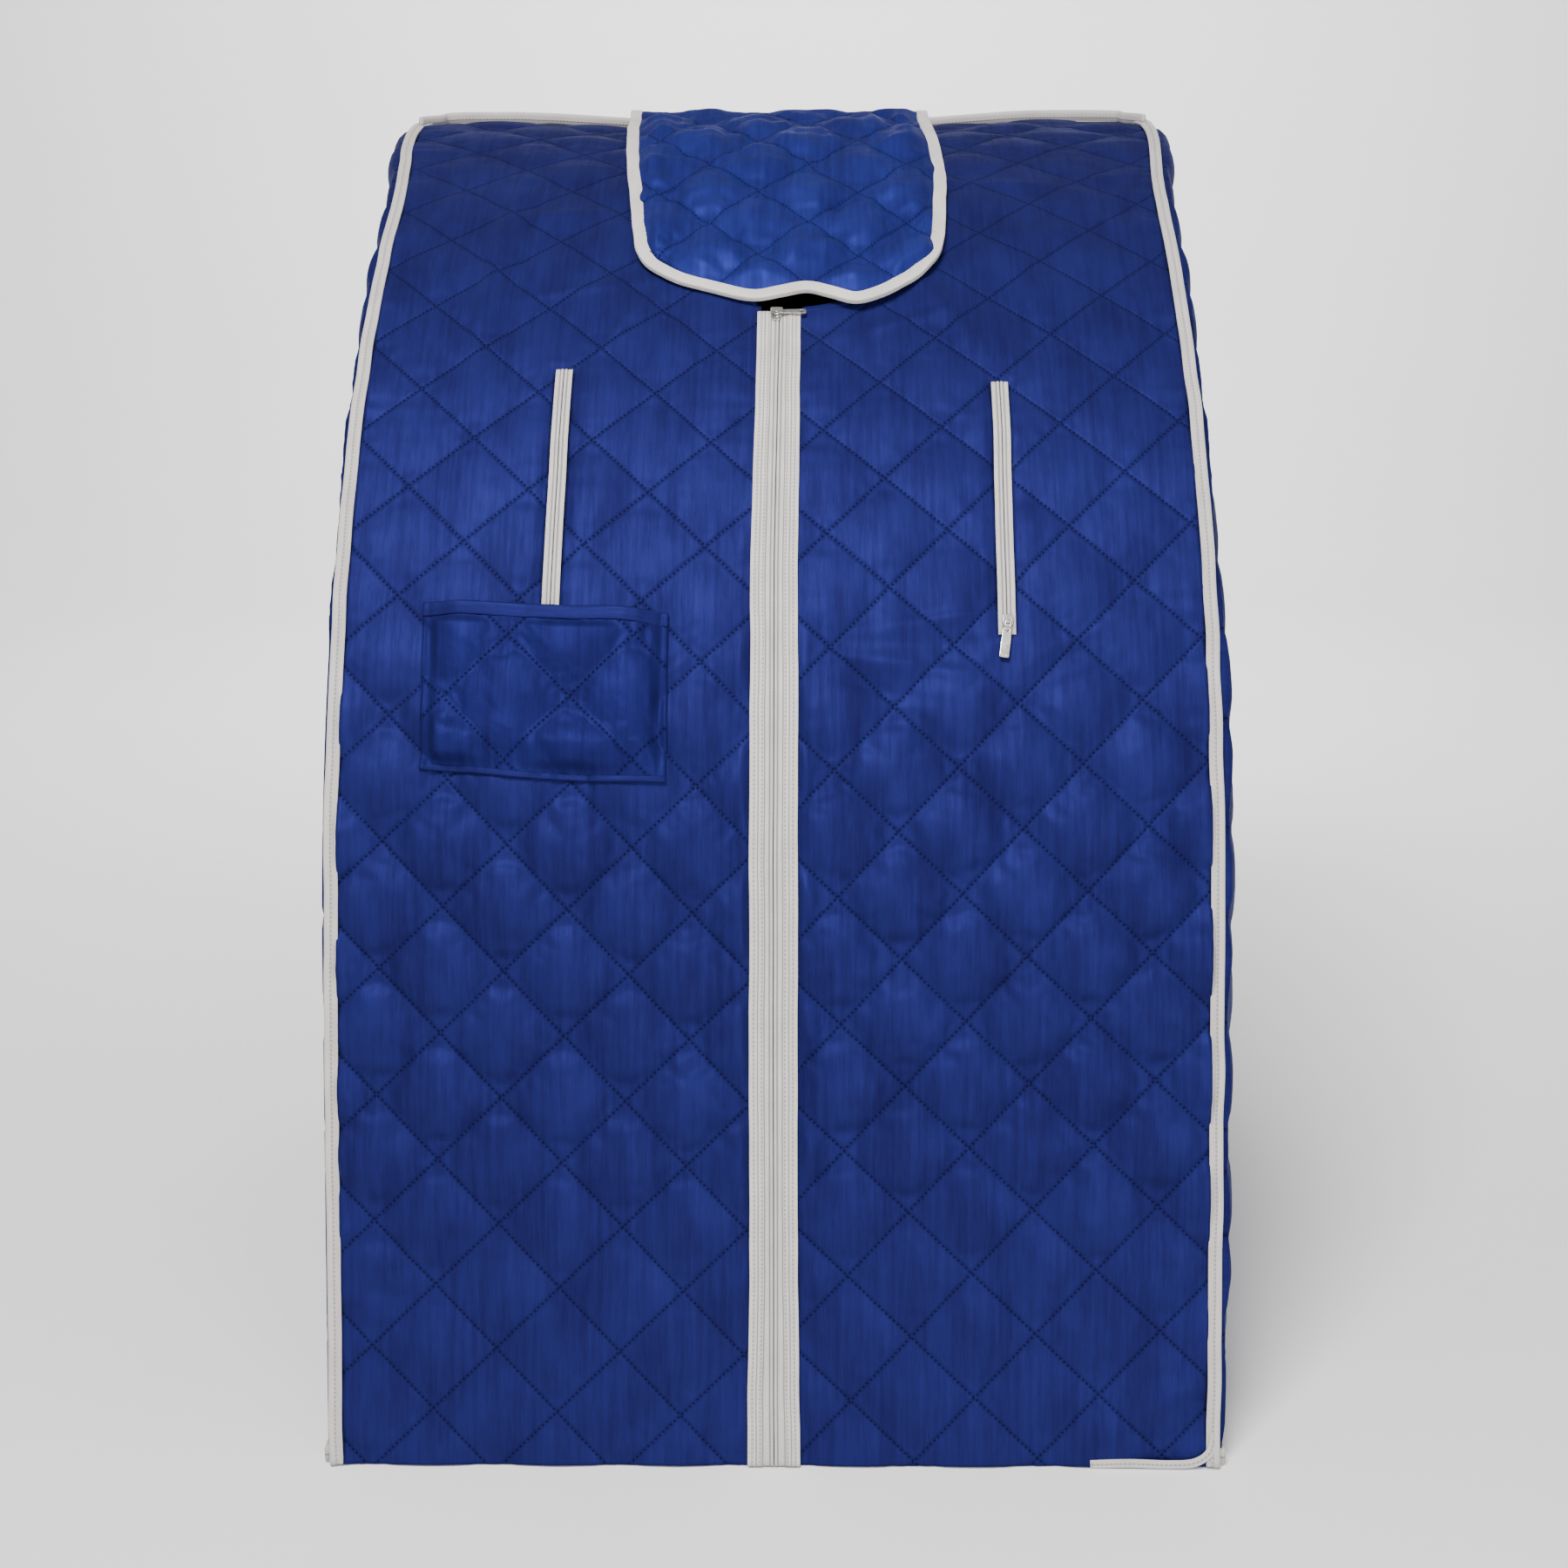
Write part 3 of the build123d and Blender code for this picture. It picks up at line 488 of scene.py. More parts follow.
def simulate_patch():
    """Relief of a square of quilting: cloth, sewn down along its lines and filled by pressure."""
    count = round((PATCH + 2 * PATCH_RIM) / PATCH_CELL) + 1
    ruler = np.linspace(-PATCH_RIM, PATCH + PATCH_RIM, count)
    u, v = np.meshgrid(ruler, ruler, indexing="ij")
    seed = np.random.RandomState(5).rand(2, count, count) - 0.5
    loose = xyz(u + UNEVEN * seed[0], v + UNEVEN * seed[1], 0).reshape(-1, 3)
    grid = np.arange(count * count).reshape(count, count)
    cells = grid_cells(grid).reshape(-1, 4)
    data = bpy.data.meshes.new("patch")
    data.from_pydata(loose.tolist(), [], cells.tolist())
    patch = link("patch", data)
    sewn = patch.vertex_groups.new(name="sewn")
    sewn.add(np.nonzero((line_distance(u, v) < SEWN_HALF).ravel())[0].tolist(), 1.0, "REPLACE")
    cloth = patch.modifiers.new("cloth", "CLOTH")
    settings = cloth.settings
    settings.vertex_group_mass = "sewn"
    settings.quality, settings.mass = 6, 0.15
    settings.tension_stiffness, settings.compression_stiffness = 15, 15
    settings.shear_stiffness, settings.bending_stiffness = 5, 0.05
    settings.use_pressure, settings.uniform_pressure_force = True, 4
    settings.shrink_min = -0.05
    settings.effector_weights.gravity = 0
    cloth.point_cache.frame_start, cloth.point_cache.frame_end = 1, SIM_FRAMES
    for step in range(1, SIM_FRAMES + 1):
        SCENE.frame_set(step)
    solved = patch.evaluated_get(bpy.context.evaluated_depsgraph_get()).to_mesh()
    places = np.zeros(len(solved.vertices) * 3)
    solved.vertices.foreach_get("co", places)
    bpy.data.objects.remove(patch)
    SCENE.frame_set(1)
    height = np.maximum(places.reshape(count, count, 3)[..., 2], 0.0)
    rim = round(PATCH_RIM / PATCH_CELL)
    height = height[rim:-rim, rim:-rim]
    return height / np.percentile(height, 98)


RELIEF = simulate_patch()


def sample_relief(u, v):
    """The simulated relief at places of the quilting, mirrored beyond the patch's edges."""
    last = len(RELIEF) - 1
    a = np.abs((u / PATCH + 1) % 2 - 1) * last
    b = np.abs((v / PATCH + 1) % 2 - 1) * last
    i, j = np.minimum(a.astype(int), last - 1), np.minimum(b.astype(int), last - 1)
    return between(RELIEF, i, j, a - i, b - j)


def quilt(u, v, seed, gather=0.0007):
    """(pillow, pucker): cushions between the sewn lines from 0 to 1, and gathers beside the lines."""
    pillow, pucker = np.ones(np.shape(u)), np.zeros(np.shape(u))
    for turn, (across, along) in enumerate(((u + v, v - u), (v - u, u + v))):
        line = across / QUILT_PITCH
        part = line - np.floor(line)
        near = np.minimum(part, 1 - part) * QUILT_PITCH / 2**0.5
        pillow = pillow * 4 * part * (1 - part)
        row = np.round(line) * 7.3
        ripple = noise(along / 2**0.5, row, 0.0068, 1.0, seed + turn)
        pucker += gather * ripple * np.exp(-near / 0.010) * smooth(near, 0, 0.003)
    if RELIEF is None:
        return pillow**0.6, pucker
    relief = sample_relief(u + 0.1 * (seed % 3), v + 0.1 * (seed % 2))
    return np.maximum(relief, 0) ** 0.75, 0.6 * pucker


def ridge(u, v, at, length, width, angle, height):
    """One fold: a ridge of a given height, at an angle from the u axis, that fades along its length."""
    du, dv = u - at[0], v - at[1]
    along = du * cos(radians(angle)) + dv * sin(radians(angle))
    off = dv * cos(radians(angle)) - du * sin(radians(angle))
    return height * bell(along, length) * bell(off, width)


# ---------------------------------------------------------------- mesh builders
def make_mesh(name, points, faces, materials, layers=None, face_slots=None):
    """A smooth-shaded mesh object with only the points that its faces use."""
    used = np.zeros(len(points), bool)
    for face in faces:
        used[face] = True
    index = np.cumsum(used) - 1
    data = bpy.data.meshes.new(name)
    data.from_pydata(points[used].tolist(), [], [f for group in faces for f in index[group].tolist()])
    for material in materials:
        data.materials.append(material)
    for layer, values in (layers or {}).items():
        attribute = data.attributes.new(layer, "FLOAT_VECTOR", "POINT")
        attribute.data.foreach_set("vector", values[used].astype(np.float32).ravel())
    if face_slots is not None:
        data.polygons.foreach_set("material_index", face_slots)
    data.polygons.foreach_set("use_smooth", [True] * len(data.polygons))
    data.validate()
    return link(name, data)


def shell(name, outer, inner, cloth, materials, keep=None, flip=False, quilting=None):
    """A closed sheet between two grids of points (n, m, 3). keep says which of its cells exist.

    cloth and quilting are pairs of grids: where its points are on the cloth and in the quilting.
    """
    n, m = outer.shape[:2]
    keep = np.ones((n - 1, m - 1), bool) if keep is None else keep
    grid = np.arange(n * m).reshape(n, m)
    cells = grid_cells(grid, keep)
    back = cells[:, ::-1] + n * m
    kept = np.pad(keep, 1)
    rims = []
    for beside, a, b in (
        (kept[:-2, 1:-1], (0, 0), (0, 1)), (kept[2:, 1:-1], (1, 1), (1, 0)),
        (kept[1:-1, :-2], (1, 0), (0, 0)), (kept[1:-1, 2:], (0, 1), (1, 1)),
    ):
        i, j = np.nonzero(keep & ~beside)
        first, second = grid[i + a[0], j + a[1]], grid[i + b[0], j + b[1]]
        rims.append(np.stack([first, second, second + n * m, first + n * m], -1))
    rim = np.concatenate(rims)
    groups = [cells, back, rim]
    if flip:
        groups = [group[:, ::-1] for group in groups]
    points = np.concatenate([outer.reshape(-1, 3), inner.reshape(-1, 3)])
    layers = {"cloth": cloth, "quilting": quilting or cloth}
    layers = {layer: np.tile(xyz(*pair, 0).reshape(-1, 3), (2, 1)) for layer, pair in layers.items()}
    slots = np.repeat([0, 1, 0], [len(cells), len(back), len(rim)])
    return make_mesh(name, points, groups, materials, layers, slots)


def sweep(name, path, out, up, section, material):
    """A band: a closed section of (out, up) pairs, swept along a path with its two side directions."""
    n, m = len(path), len(section)
    section = np.asarray(section, float)
    out, up = (np.broadcast_to(np.asarray(way, float), path.shape) for way in (out, up))
    points = path[:, None] + section[:, :1] * out[:, None] + section[:, 1:] * up[:, None]
    along = lengths(path)
    cloth = xyz(section[:, 0], along[:, None], section[:, 1])
    grid = np.arange(n * m).reshape(n, m)
    following = np.roll(grid, -1, axis=1)
    sides = np.stack([grid[:-1], following[:-1], following[1:], grid[1:]], -1).reshape(-1, 4)
    first, last = xyz(following[0], grid[0], n * m), xyz(grid[-1], following[-1], n * m + 1)
    flat = np.concatenate([points.reshape(-1, 3), [points[0].mean(0), points[-1].mean(0)]])
    cloth = np.concatenate([cloth.reshape(-1, 3), [[0, 0, 0], [0, along[-1], 0]]])
    return make_mesh(name, flat, [sides, first, last], [material], {"cloth": cloth})


def rounded(half_width, low, high, corner=0.0012, steps=4):
    """A rounded-rectangle section from -half_width to half_width and low to high."""
    points = []
    for cx, cy, start in (
        (half_width - corner, high - corner, 0), (-half_width + corner, high - corner, 90),
        (-half_width + corner, low + corner, 180), (half_width - corner, low + corner, 270),
    ):
        for k in range(steps + 1):
            angle = radians(start + 90 * k / steps)
            points.append((cx + corner * cos(angle), cy + corner * sin(angle)))
    return points


def bow_directions(s):
    """Unit vectors across (+X), up the bow and outwards, at distances along the bow."""
    lean = LEAN + np.maximum(0.0, s - STRAIGHT) / RADIUS
    return xyz(1 + 0 * s, 0, 0), xyz(0, np.sin(lean), np.cos(lean)), xyz(0, -np.cos(lean), np.sin(lean))


def bow_band(name, x, s, section, material, lift):
    """A band along the bow, centred at x, which may be a number or one for each s."""
    across, _, outward = bow_directions(s)
    path = on_bow(x, s, lift)
    return sweep(name, path, across, outward, section, material)


def stand_for(nodes):
    """Hides the CAD nodes that a piece replaces, if any."""
    if nodes:
        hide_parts(*nodes)


def place(piece, body, nodes, slot):
    """Makes a piece ride on a body, and stand for CAD nodes."""
    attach(piece, body)
    stand_for(nodes)


def bend(piece, nodes):
    """Bakes a front piece's place into its points, and hides the CAD nodes that it stands for."""
    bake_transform(piece)
    stand_for(nodes)


# ---------------------------------------------------------------- cover: front and top
# (x, lower s, upper s) of each arm zip
ARM_SLOTS = {}
for side in SIDES:
    low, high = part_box(f"{side}_arm_zip_tapes")
    ends = [bow_s(corner.y, corner.z) for corner in (low, high)]
    ARM_SLOTS[side] = ((low.x + high.x) / 2, *ends)
CELL = 0.0030  # spacing of the panels' points
LINER = -THICK + 0.001  # height of the inner face
QUILT_TURN = 0.027  # how far off the straight each half of the front was cut
QUILT_SHIFT = {-1: (0.0266, 0.0112), 1: (-0.0133, -0.0014)}
ZIP_GAP, ZIP_EDGE = 0.013, 0.0178  # where the panel ends under the zip's tape, and where it is free of it
SHELF = -0.0012  # height of the panel under that tape
ARM_TAPE = 0.0070  # half the width of an arm zip's tapes


def settle(points):
    """Lifts the cover's rear top edge and pushes its corners out, over the frame's fittings."""
    x, y, z = (points[..., k] for k in range(3))
    top = smooth(z, 0.88, 1.02)
    moved = points.copy()
    moved[..., 2] += top * smooth(y, 0.14, 0.40) * (0.001 + 0.006 * smooth(np.abs(x), 0.12, 0.26))
    out = smooth(y, 0.08, 0.33) * (1 - 0.7 * smooth(y, 0.35, 0.415))
    moved[..., 0] += np.sign(x) * 0.017 * smooth(np.abs(x), 0.25, SEAM_X) * top * out
    return moved


def front_quilting(x, s, sign):
    """Coordinates of the quilting on one half, which was cut slightly off the straight."""
    shift = QUILT_SHIFT[sign]
    return 1.02 * x + sign * QUILT_TURN * s + shift[0], s - sign * QUILT_TURN * x + shift[1]


def arm_line(side, s):
    """Where an arm zip's middle runs, across the front."""
    arm_x, s_low, s_high = ARM_SLOTS[side]
    lean = 0.0014 * ((s - s_low) / (s_high - s_low) - 0.6)
    return arm_x + lean + 0.0007 * noise(s, 0.5, 0.05, 1.0, 27 if side == "left" else 28)


# folds of the front and top: ((x, s), length, width, degrees from the x axis, height)
FOLDS = (
    ((0.13, 0.675), 0.045, 0.006, 8, 0.0026), ((0.12, 0.655), 0.055, 0.007, 0, -0.0022),
    ((0.10, 0.637), 0.05, 0.007, -8, 0.0026), ((0.085, 0.618), 0.04, 0.006, -14, -0.0018),
    ((0.24, 0.66), 0.04, 0.007, 30, 0.002), ((0.23, 0.62), 0.05, 0.008, 22, -0.0018),
    ((-0.31, 0.10), 0.03, 0.008, 10, 0.003), ((-0.315, 0.14), 0.03, 0.007, -12, -0.0025),
    ((-0.31, 0.165), 0.03, 0.007, 8, 0.0025), ((0.30, 0.05), 0.05, 0.010, 30, 0.003),
    ((-0.13, 0.97), 0.04, 0.007, 62, 0.0028), ((-0.105, 0.955), 0.04, 0.007, 75, -0.0022),
    ((-0.075, 0.945), 0.035, 0.006, 100, 0.002), ((-0.16, 1.02), 0.06, 0.007, 12, 0.002),
    ((0.14, 1.00), 0.07, 0.010, 118, 0.0026), ((0.08, 0.96), 0.05, 0.008, 100, -0.002),
    ((0.11, 0.975), 0.04, 0.006, 20, 0.0016), ((0.22, 1.05), 0.10, 0.012, 98, 0.0022),
    ((-0.25, 1.05), 0.16, 0.007, 86, 0.003), ((-0.225, 1.06), 0.14, 0.006, 88, -0.002),
    ((-0.20, 1.14), 0.07, 0.010, 10, 0.002), ((0.20, 1.20), 0.08, 0.010, -8, 0.002),
)


def front_relief(x, s, sign):
    """Height of the front and top panels' outer face over the bow."""
    pillow, pucker = quilt(*front_quilting(x, s, sign), 11)
    depth = 0.0034 - 0.0012 * smooth(s, 0.6, 0.9) + 0.0010 * smooth(s, 1.15, 1.3)
    depth = depth + 0.0074 * smooth(s, 0.10, 0.30) * (1 - smooth(s, 0.50, 0.70))
    height = depth * pillow + 1.3 * pucker - 0.0018
    height += 0.0010 * noise(x, s, 0.030, 0.15, 21) * smooth(s, 0.70, 0.95) * (1 - smooth(s, 1.15, 1.3))
    height += 0.0009 * noise(x, s, 0.06, 0.025, 25) * smooth(s, 1.0, 1.2)
    height += 0.0016 * noise(x, s, 0.11, 0.20, 22)
    inner_edge = np.exp(-(np.abs(x) - ZIP_EDGE) / 0.020)
    outer_edge = np.exp(-(SEAM_X - np.abs(x)) / 0.022)
    height += 0.0009 * noise(np.sign(x) * 3.0, s, 1.0, 0.009, 23) * (inner_edge + outer_edge)
    for side, (arm_x, s_low, s_high) in ARM_SLOTS.items():
        middle = arm_line(side, s)
        beside = np.exp(-beyond(x - middle, ARM_TAPE) / 0.014)
        within = smooth(s, s_low - 0.02, s_low) * (1 - smooth(s, s_high, s_high + 0.02))
        height += 0.0009 * noise(x * 0 + arm_x * 40, s, 1.0, 0.011, 24) * beside * within
        off = np.hypot(beyond(x - middle, ARM_TAPE), beyond(s - (s_low + s_high) / 2, (s_high - s_low) / 2))
        height -= 0.0022 * smooth(-off, -0.010, 0.0)
    for at, length, width, angle, tall in FOLDS:
        height += ridge(x, s, at, length, width, angle, tall)
    beside_zip = smooth(np.abs(x), ZIP_EDGE, ZIP_EDGE + 0.008)
    from_pull = np.hypot(beyond(x - 0.184, 0.007), beyond(s - 0.647, 0.036))
    height = np.minimum(height, 0.0002 + 0.22 * from_pull)
    zip_band = 1 - smooth(s, ZIP_TOP - 0.01, ZIP_TOP)
    return height * (1 - zip_band * (1 - beside_zip)) + SHELF * zip_band * (1 - beside_zip)


def lines(*stretches):
    """Grid coordinates with exact places at the ends of each stretch, about a cell apart."""
    out = [stretches[0]]
    for low, high in zip(stretches[:-1], stretches[1:]):
        count = max(1, round((high - low) / CELL))
        out += list(np.linspace(low, high, count + 1)[1:])
    return np.array(out)


def build_front_half(side, sign):
    """One half of the front, with its side of the top, to the middle seam behind the neck."""
    arm_x, s_low, s_high = ARM_SLOTS[side]
    half = ARM_TAPE + 0.0001
    xs = lines(0.0, ZIP_GAP, abs(arm_x) - half, abs(arm_x) + half, SEAM_X) * sign
    ss = lines(0.0012, s_low, s_high, ZIP_TOP - 0.003, BOW_END - 0.001)
    x, s = np.meshgrid(xs, ss, indexing="ij")
    x0 = x
    nearby = bell(beyond(x - arm_x, half), 0.02)
    nearby = nearby * smooth(s, s_low - 0.03, s_low) * (1 - smooth(s, s_high, s_high + 0.03))
    x = x + (arm_line(side, s) - arm_x) * nearby
    hole = neck_reach(np.arctan2(s - NECK_S, x))
    radial = np.hypot(x, s - NECK_S)
    factor = np.where(np.abs(radial - hole) < 0.55 * CELL, hole / np.maximum(radial, 1e-6), 1.0)
    x, s = x * factor, NECK_S + (s - NECK_S) * factor
    relief = front_relief(x, s, sign)
    calm = smooth(radial - hole, 0.0, 0.03)
    relief = relief * calm + 0.0006 * (1 - calm)
    cx, cs = centres(x), centres(s)
    zip_gap = (np.abs(cx) < ZIP_GAP) & (cs < NECK_S)
    arm_gap = (np.abs(centres(x0) - arm_x) < half) & (cs > s_low) & (cs < s_high)
    neck_gap = np.hypot(cx, cs - NECK_S) < neck_reach(np.arctan2(cs - NECK_S, cx))
    keep = ~(zip_gap | arm_gap | neck_gap)
    outer = settle(on_bow(x, s, relief))
    inner = settle(on_bow(x, s, LINER + 0.3 * (0.0015 - relief)))
    quilting = front_quilting(x, s, sign)
    piece = shell(f"cover_{side}_front", outer, inner, (x, s), [COVER, LINING], keep, sign < 0, quilting)
    nodes = [f"{side}_front_panel"] + (["top_panel"] if side == "left" else [])
    bend(piece, nodes)


# how far the neck opening's hem is from its centre: (degrees from the +X side, metres)
NECK_HEM = (
    (-180, 0.1010), (-120, 0.1005), (-102, 0.1015), (-91, 0.1150), (-77, 0.1140), (-50, 0.1190),
    (-25, 0.1060), (0, 0.1010), (180, 0.1010),
)


def neck_reach(angle):
    """How far the neck opening's hem is from its centre, at angles from the +X side."""
    turns, reaches = zip(*NECK_HEM)
    return np.interp(np.degrees(angle), turns, reaches)


for side, sign in SIDES.items():
    build_front_half(side, sign)


# ---------------------------------------------------------------- cover: sides and rear
def bow_depth(y, z):
    """How far inside the bow a point of the side view is."""
    past = (y - CENTRE.y) * sin(LEAN) + (z - CENTRE.z) * cos(LEAN) > 0
    straight = (y - FOOT.y) * cos(LEAN) - z * sin(LEAN)
    return np.where(past, RADIUS - np.hypot(y - CENTRE.y, z - CENTRE.z), straight)


def side_patch(inset, base, n, m):
    """(y, z) grids that fill the side view, from the floor up and from the front back."""
    p, q = np.linspace(0, 1, n)[:, None], np.linspace(0, 1, m)[None, :]
    turn = 0.9
    foot = base / cos(LEAN)
    rear = REAR_Y - inset
    rear_end = bow_s(rear, BOW_TOP - inset)
    front_y, front_z = bow(foot + (turn - foot) * q, -inset)
    top_y, top_z = bow(turn + (rear_end - turn) * p, -inset)
    corner = [(front_y[0, 0], front_z[0, 0]), (rear, front_z[0, 0])]
    corner += [(top_y[0, 0], top_z[0, 0]), (rear, top_z[-1, 0])]
    sheets = []
    for axis, front, top, back in (
        (0, front_y, top_y, rear + 0 * q),
        (1, front_z, top_z, corner[1][1] + (corner[3][1] - corner[1][1]) * q),
    ):
        bottom = corner[0][axis] + (corner[1][axis] - corner[0][axis]) * p
        blend = (1 - q) * bottom + q * top + (1 - p) * front + p * back
        c = [k[axis] for k in corner]
        blend -= (1 - p) * (1 - q) * c[0] + p * (1 - q) * c[1] + (1 - p) * q * c[2] + p * q * c[3]
        sheets.append(blend)
    return sheets


# how far each side puffs out low down, how steeply it may rise from its seams, and its outermost x
SIDE_SWELL = {"left": -0.002, "right": 0.006}
SIDE_SLOPE = {"left": 0.13, "right": 1.0}
SIDE_LIMIT = 0.3865


def build_side(side, sign):
    """A side panel, which puffs out between its seams, most of all at the top rear corner."""
    y, z = side_patch(0.0045, 0.004, 190, 240)
    edge = np.minimum(bow_depth(y, z), REAR_Y - y)
    pillow, pucker = quilt(y, z, 31)
    high = smooth(z, 0.60, 0.90) * smooth(y, -0.15, 0.15)
    corner = smooth(z, 0.88, 1.0) * smooth(y, 0.10, 0.34)
    low = SIDE_SWELL[side] * smooth(z, 0.0, 0.15) * (1 - smooth(z, 0.55, 0.85))
    swell = (0.0025 + 0.008 * high + low) * (1 - np.exp(-edge / 0.016))
    swell += 0.013 * corner * (1 - np.exp(-edge / 0.006)) * (1 - 0.5 * high)
    swell += 0.006 * smooth(edge, 0.03, 0.2) * smooth(z, 0.0, 0.25)
    swell = swell * (1 - np.exp(-(z + 0.004) / 0.02))
    relief = 0.0042 * pillow + pucker - 0.002 + swell
    relief += 0.0018 * noise(y, z, 0.13, 0.2, 32) + 0.0009 * noise(y, z, 0.03, 0.12, 33)
    relief += 0.0016 * noise(y, z, 0.03, 0.03, 34) * np.exp(-edge / 0.02)
    relief = relief * smooth(edge, 0.0, 0.006) + 0.0005
    slack = SIDE_SLOPE[side] * edge - 0.001 + 0.03 * smooth(z, 0.62, 0.78)
    slack = np.minimum(slack, 0.45 * (z - 0.012))
    relief = np.minimum(relief, slack)
    x = sign * (SIDE_X + np.minimum(relief, 0.029))
    outer = settle(xyz(x, y, z))
    inner = settle(xyz(sign * (SIDE_X + LINER + 0.25 * relief), y, z))
    outer[..., 0] = np.clip(outer[..., 0], -SIDE_LIMIT, SIDE_LIMIT)
    piece = shell(f"cover_{side}_side", outer, inner, (y, z), [COVER, LINING], flip=sign < 0)
    place(piece, "cover", [f"{side}_side_panel"], "cover_quilt")


for side, sign in SIDES.items():
    build_side(side, sign)


def build_rear():
    """The rear panel, with its window for the control box."""
    bezel_low, bezel_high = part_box("control_box_housing")
    box_x, box_z = (bezel_low.x + bezel_high.x) / 2, (bezel_low.z + bezel_high.z) / 2
    half_w, half_h = 0.0526, 0.0266
    xs = lines(-SEAM_X - 0.004, box_x - half_w, box_x + half_w, SEAM_X + 0.004)
    zs = lines(0.0015, box_z - half_h, box_z + half_h, BOW_TOP - 0.001)
    x, z = np.meshgrid(xs, zs, indexing="ij")
    pillow, pucker = quilt(x, z, 41)
    edge = np.maximum(np.minimum(SEAM_X - np.abs(x), BOW_TOP - z), 0)
    window = np.maximum(np.abs(x - box_x) - half_w, np.abs(z - box_z) - half_h)
    relief = 0.0042 * pillow + pucker - 0.002 + 0.0035 * smooth(edge, 0, 0.15)
    relief += 0.0018 * noise(x, z, 0.13, 0.22, 42) + 0.0008 * noise(x, z, 0.03, 0.12, 43)
    under_flap = (1 - smooth(np.abs(x), 0.165, 0.21)) * smooth(z, 0.50, 0.60)
    relief = relief * (1 - 0.8 * under_flap) - 0.0012 * under_flap
    relief = relief * smooth(window, -0.002, 0.03) * smooth(edge, 0.0, 0.012)
    outer = settle(xyz(x, REAR_Y + relief, z))
    inner = settle(xyz(x, REAR_Y + LINER + 0.2 * relief, z))
    cx, cz = centres(x), centres(z)
    keep = ~((np.abs(cx - box_x) < half_w) & (np.abs(cz - box_z) < half_h))
    piece = shell("cover_rear", outer, inner, (x, z), [COVER, LINING], keep, flip=True)
    place(piece, "cover", ["rear_panel"], "cover_quilt")


build_rear()


def build_floor():
    """The floor sheet, slightly puckered, lying flat on the ground."""
    low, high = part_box("floor_panel")
    x, y = np.meshgrid(np.linspace(low.x, high.x, 170), np.linspace(low.y, high.y, 200), indexing="ij")
    edge = np.minimum(np.minimum(x - low.x, high.x - x), np.minimum(y - low.y, high.y - y))
    rise = high.z - 0.0018 + 0.0012 * noise(x, y, 0.06, 0.06, 51) + 0.0008 * noise(x, y, 0.02, 0.09, 52)
    rise = rise * (0.45 + 0.55 * smooth(edge, 0.0, 0.004))
    outer, inner = xyz(x, y, rise), xyz(x, y, 0.0002)
    piece = shell("floor_sheet", outer, inner, (x, y), [FLOOR_CLOTH, FLOOR_CLOTH])
    place(piece, "cover", ["floor_panel"], "floor_cloth")


build_floor()

# ---------------------------------------------------------------- bindings
BAND_HALF = 0.0054  # half the width of the seams' tape


def fold_section(half, thick):
    """A tape folded over a seam, from its sewn lip at -half to its rounded outer edge at half."""
    return [
        (-half, 0.0), (-half + 0.0003, thick * 0.8), (-half + 0.0011, thick),
        (-half + 0.0019, thick * 0.75), (-half + 0.0024, thick * 0.25), (-half + 0.0032, thick * 0.55),
        (0.0, thick * 0.95), (half * 0.55, thick), (half * 0.88, thick * 0.7), (half, 0.0),
        (half * 0.88, -thick * 0.6), (half * 0.5, -thick * 0.9), (0.0, -thick * 0.85),
        (-half * 0.6, -thick * 0.5), (-half + 0.0004, -0.0006),
    ]


def sway(t, seed, size=0.035, amount=0.0009):
    """A small sideways wander along a band."""
    return amount * noise(t, 0.5, size, 1.0, seed)


def build_seam(side, sign):
    """The bound seam that runs up the bow, round the rear top corner and down the rear edge."""
    s = np.arange(0.002, BOW_END - 0.012, 0.004)
    across, _, outward = bow_directions(s)
    lean_out = 0.22 + 0.10 * noise(s, 0.5, 0.05, 1.0, 61 + sign)
    out = across * sign * np.cos(lean_out)[:, None] + outward * np.sin(lean_out)[:, None]
    up = outward * np.cos(lean_out)[:, None] - across * sign * np.sin(lean_out)[:, None]
    x = sign * (SEAM_X + BAND_HALF - 0.0004) + sway(s, 62 + sign)
    path = on_bow(x, s, 0.0012 + sway(s, 64 + sign, 0.05, 0.0006))
    turn = np.linspace(0, pi / 2, 9)[1:-1]
    bend_r = 0.012
    corner_y, corner_z = REAR_Y - bend_r, BOW_TOP - bend_r
    arc = xyz(x[-1], corner_y + bend_r * np.sin(turn), corner_z + bend_r * np.cos(turn))
    z = np.arange(corner_z, 0.002, -0.006)
    down = xyz(sign * (SEAM_X + BAND_HALF + 0.0012) + sway(z, 66), REAR_Y + 0.0008, z)
    path = settle(np.concatenate([path, arc, down]))
    out = np.concatenate([out, np.tile((sign, 0, 0), (len(arc) + len(down), 1))])
    up = np.concatenate([up, xyz(0, np.sin(turn), np.cos(turn)), xyz(0, 0 * z + 1, 0)])
    piece = sweep(f"seam_{side}", path, out, up, fold_section(BAND_HALF, 0.0022)[::sign], TAPE)
    place(piece, "cover", [f"{side}_seam_binding"], "binding_tape")
    hem_y = np.arange(FOOT.y + 0.004, REAR_Y - 0.002, 0.006)
    hem = xyz(sign * (SIDE_X + 0.0004) + 0 * hem_y, hem_y, 0.0075)
    hem_section = rounded(0.0062, -0.0042, 0.0016)[::-sign]
    hem_piece = sweep(f"side_hem_{side}", hem, (0, 0, 1), (sign, 0, 0), hem_section, TAPE)
    place(hem_piece, "cover", [], "binding_tape")


for side, sign in SIDES.items():
    build_seam(side, sign)


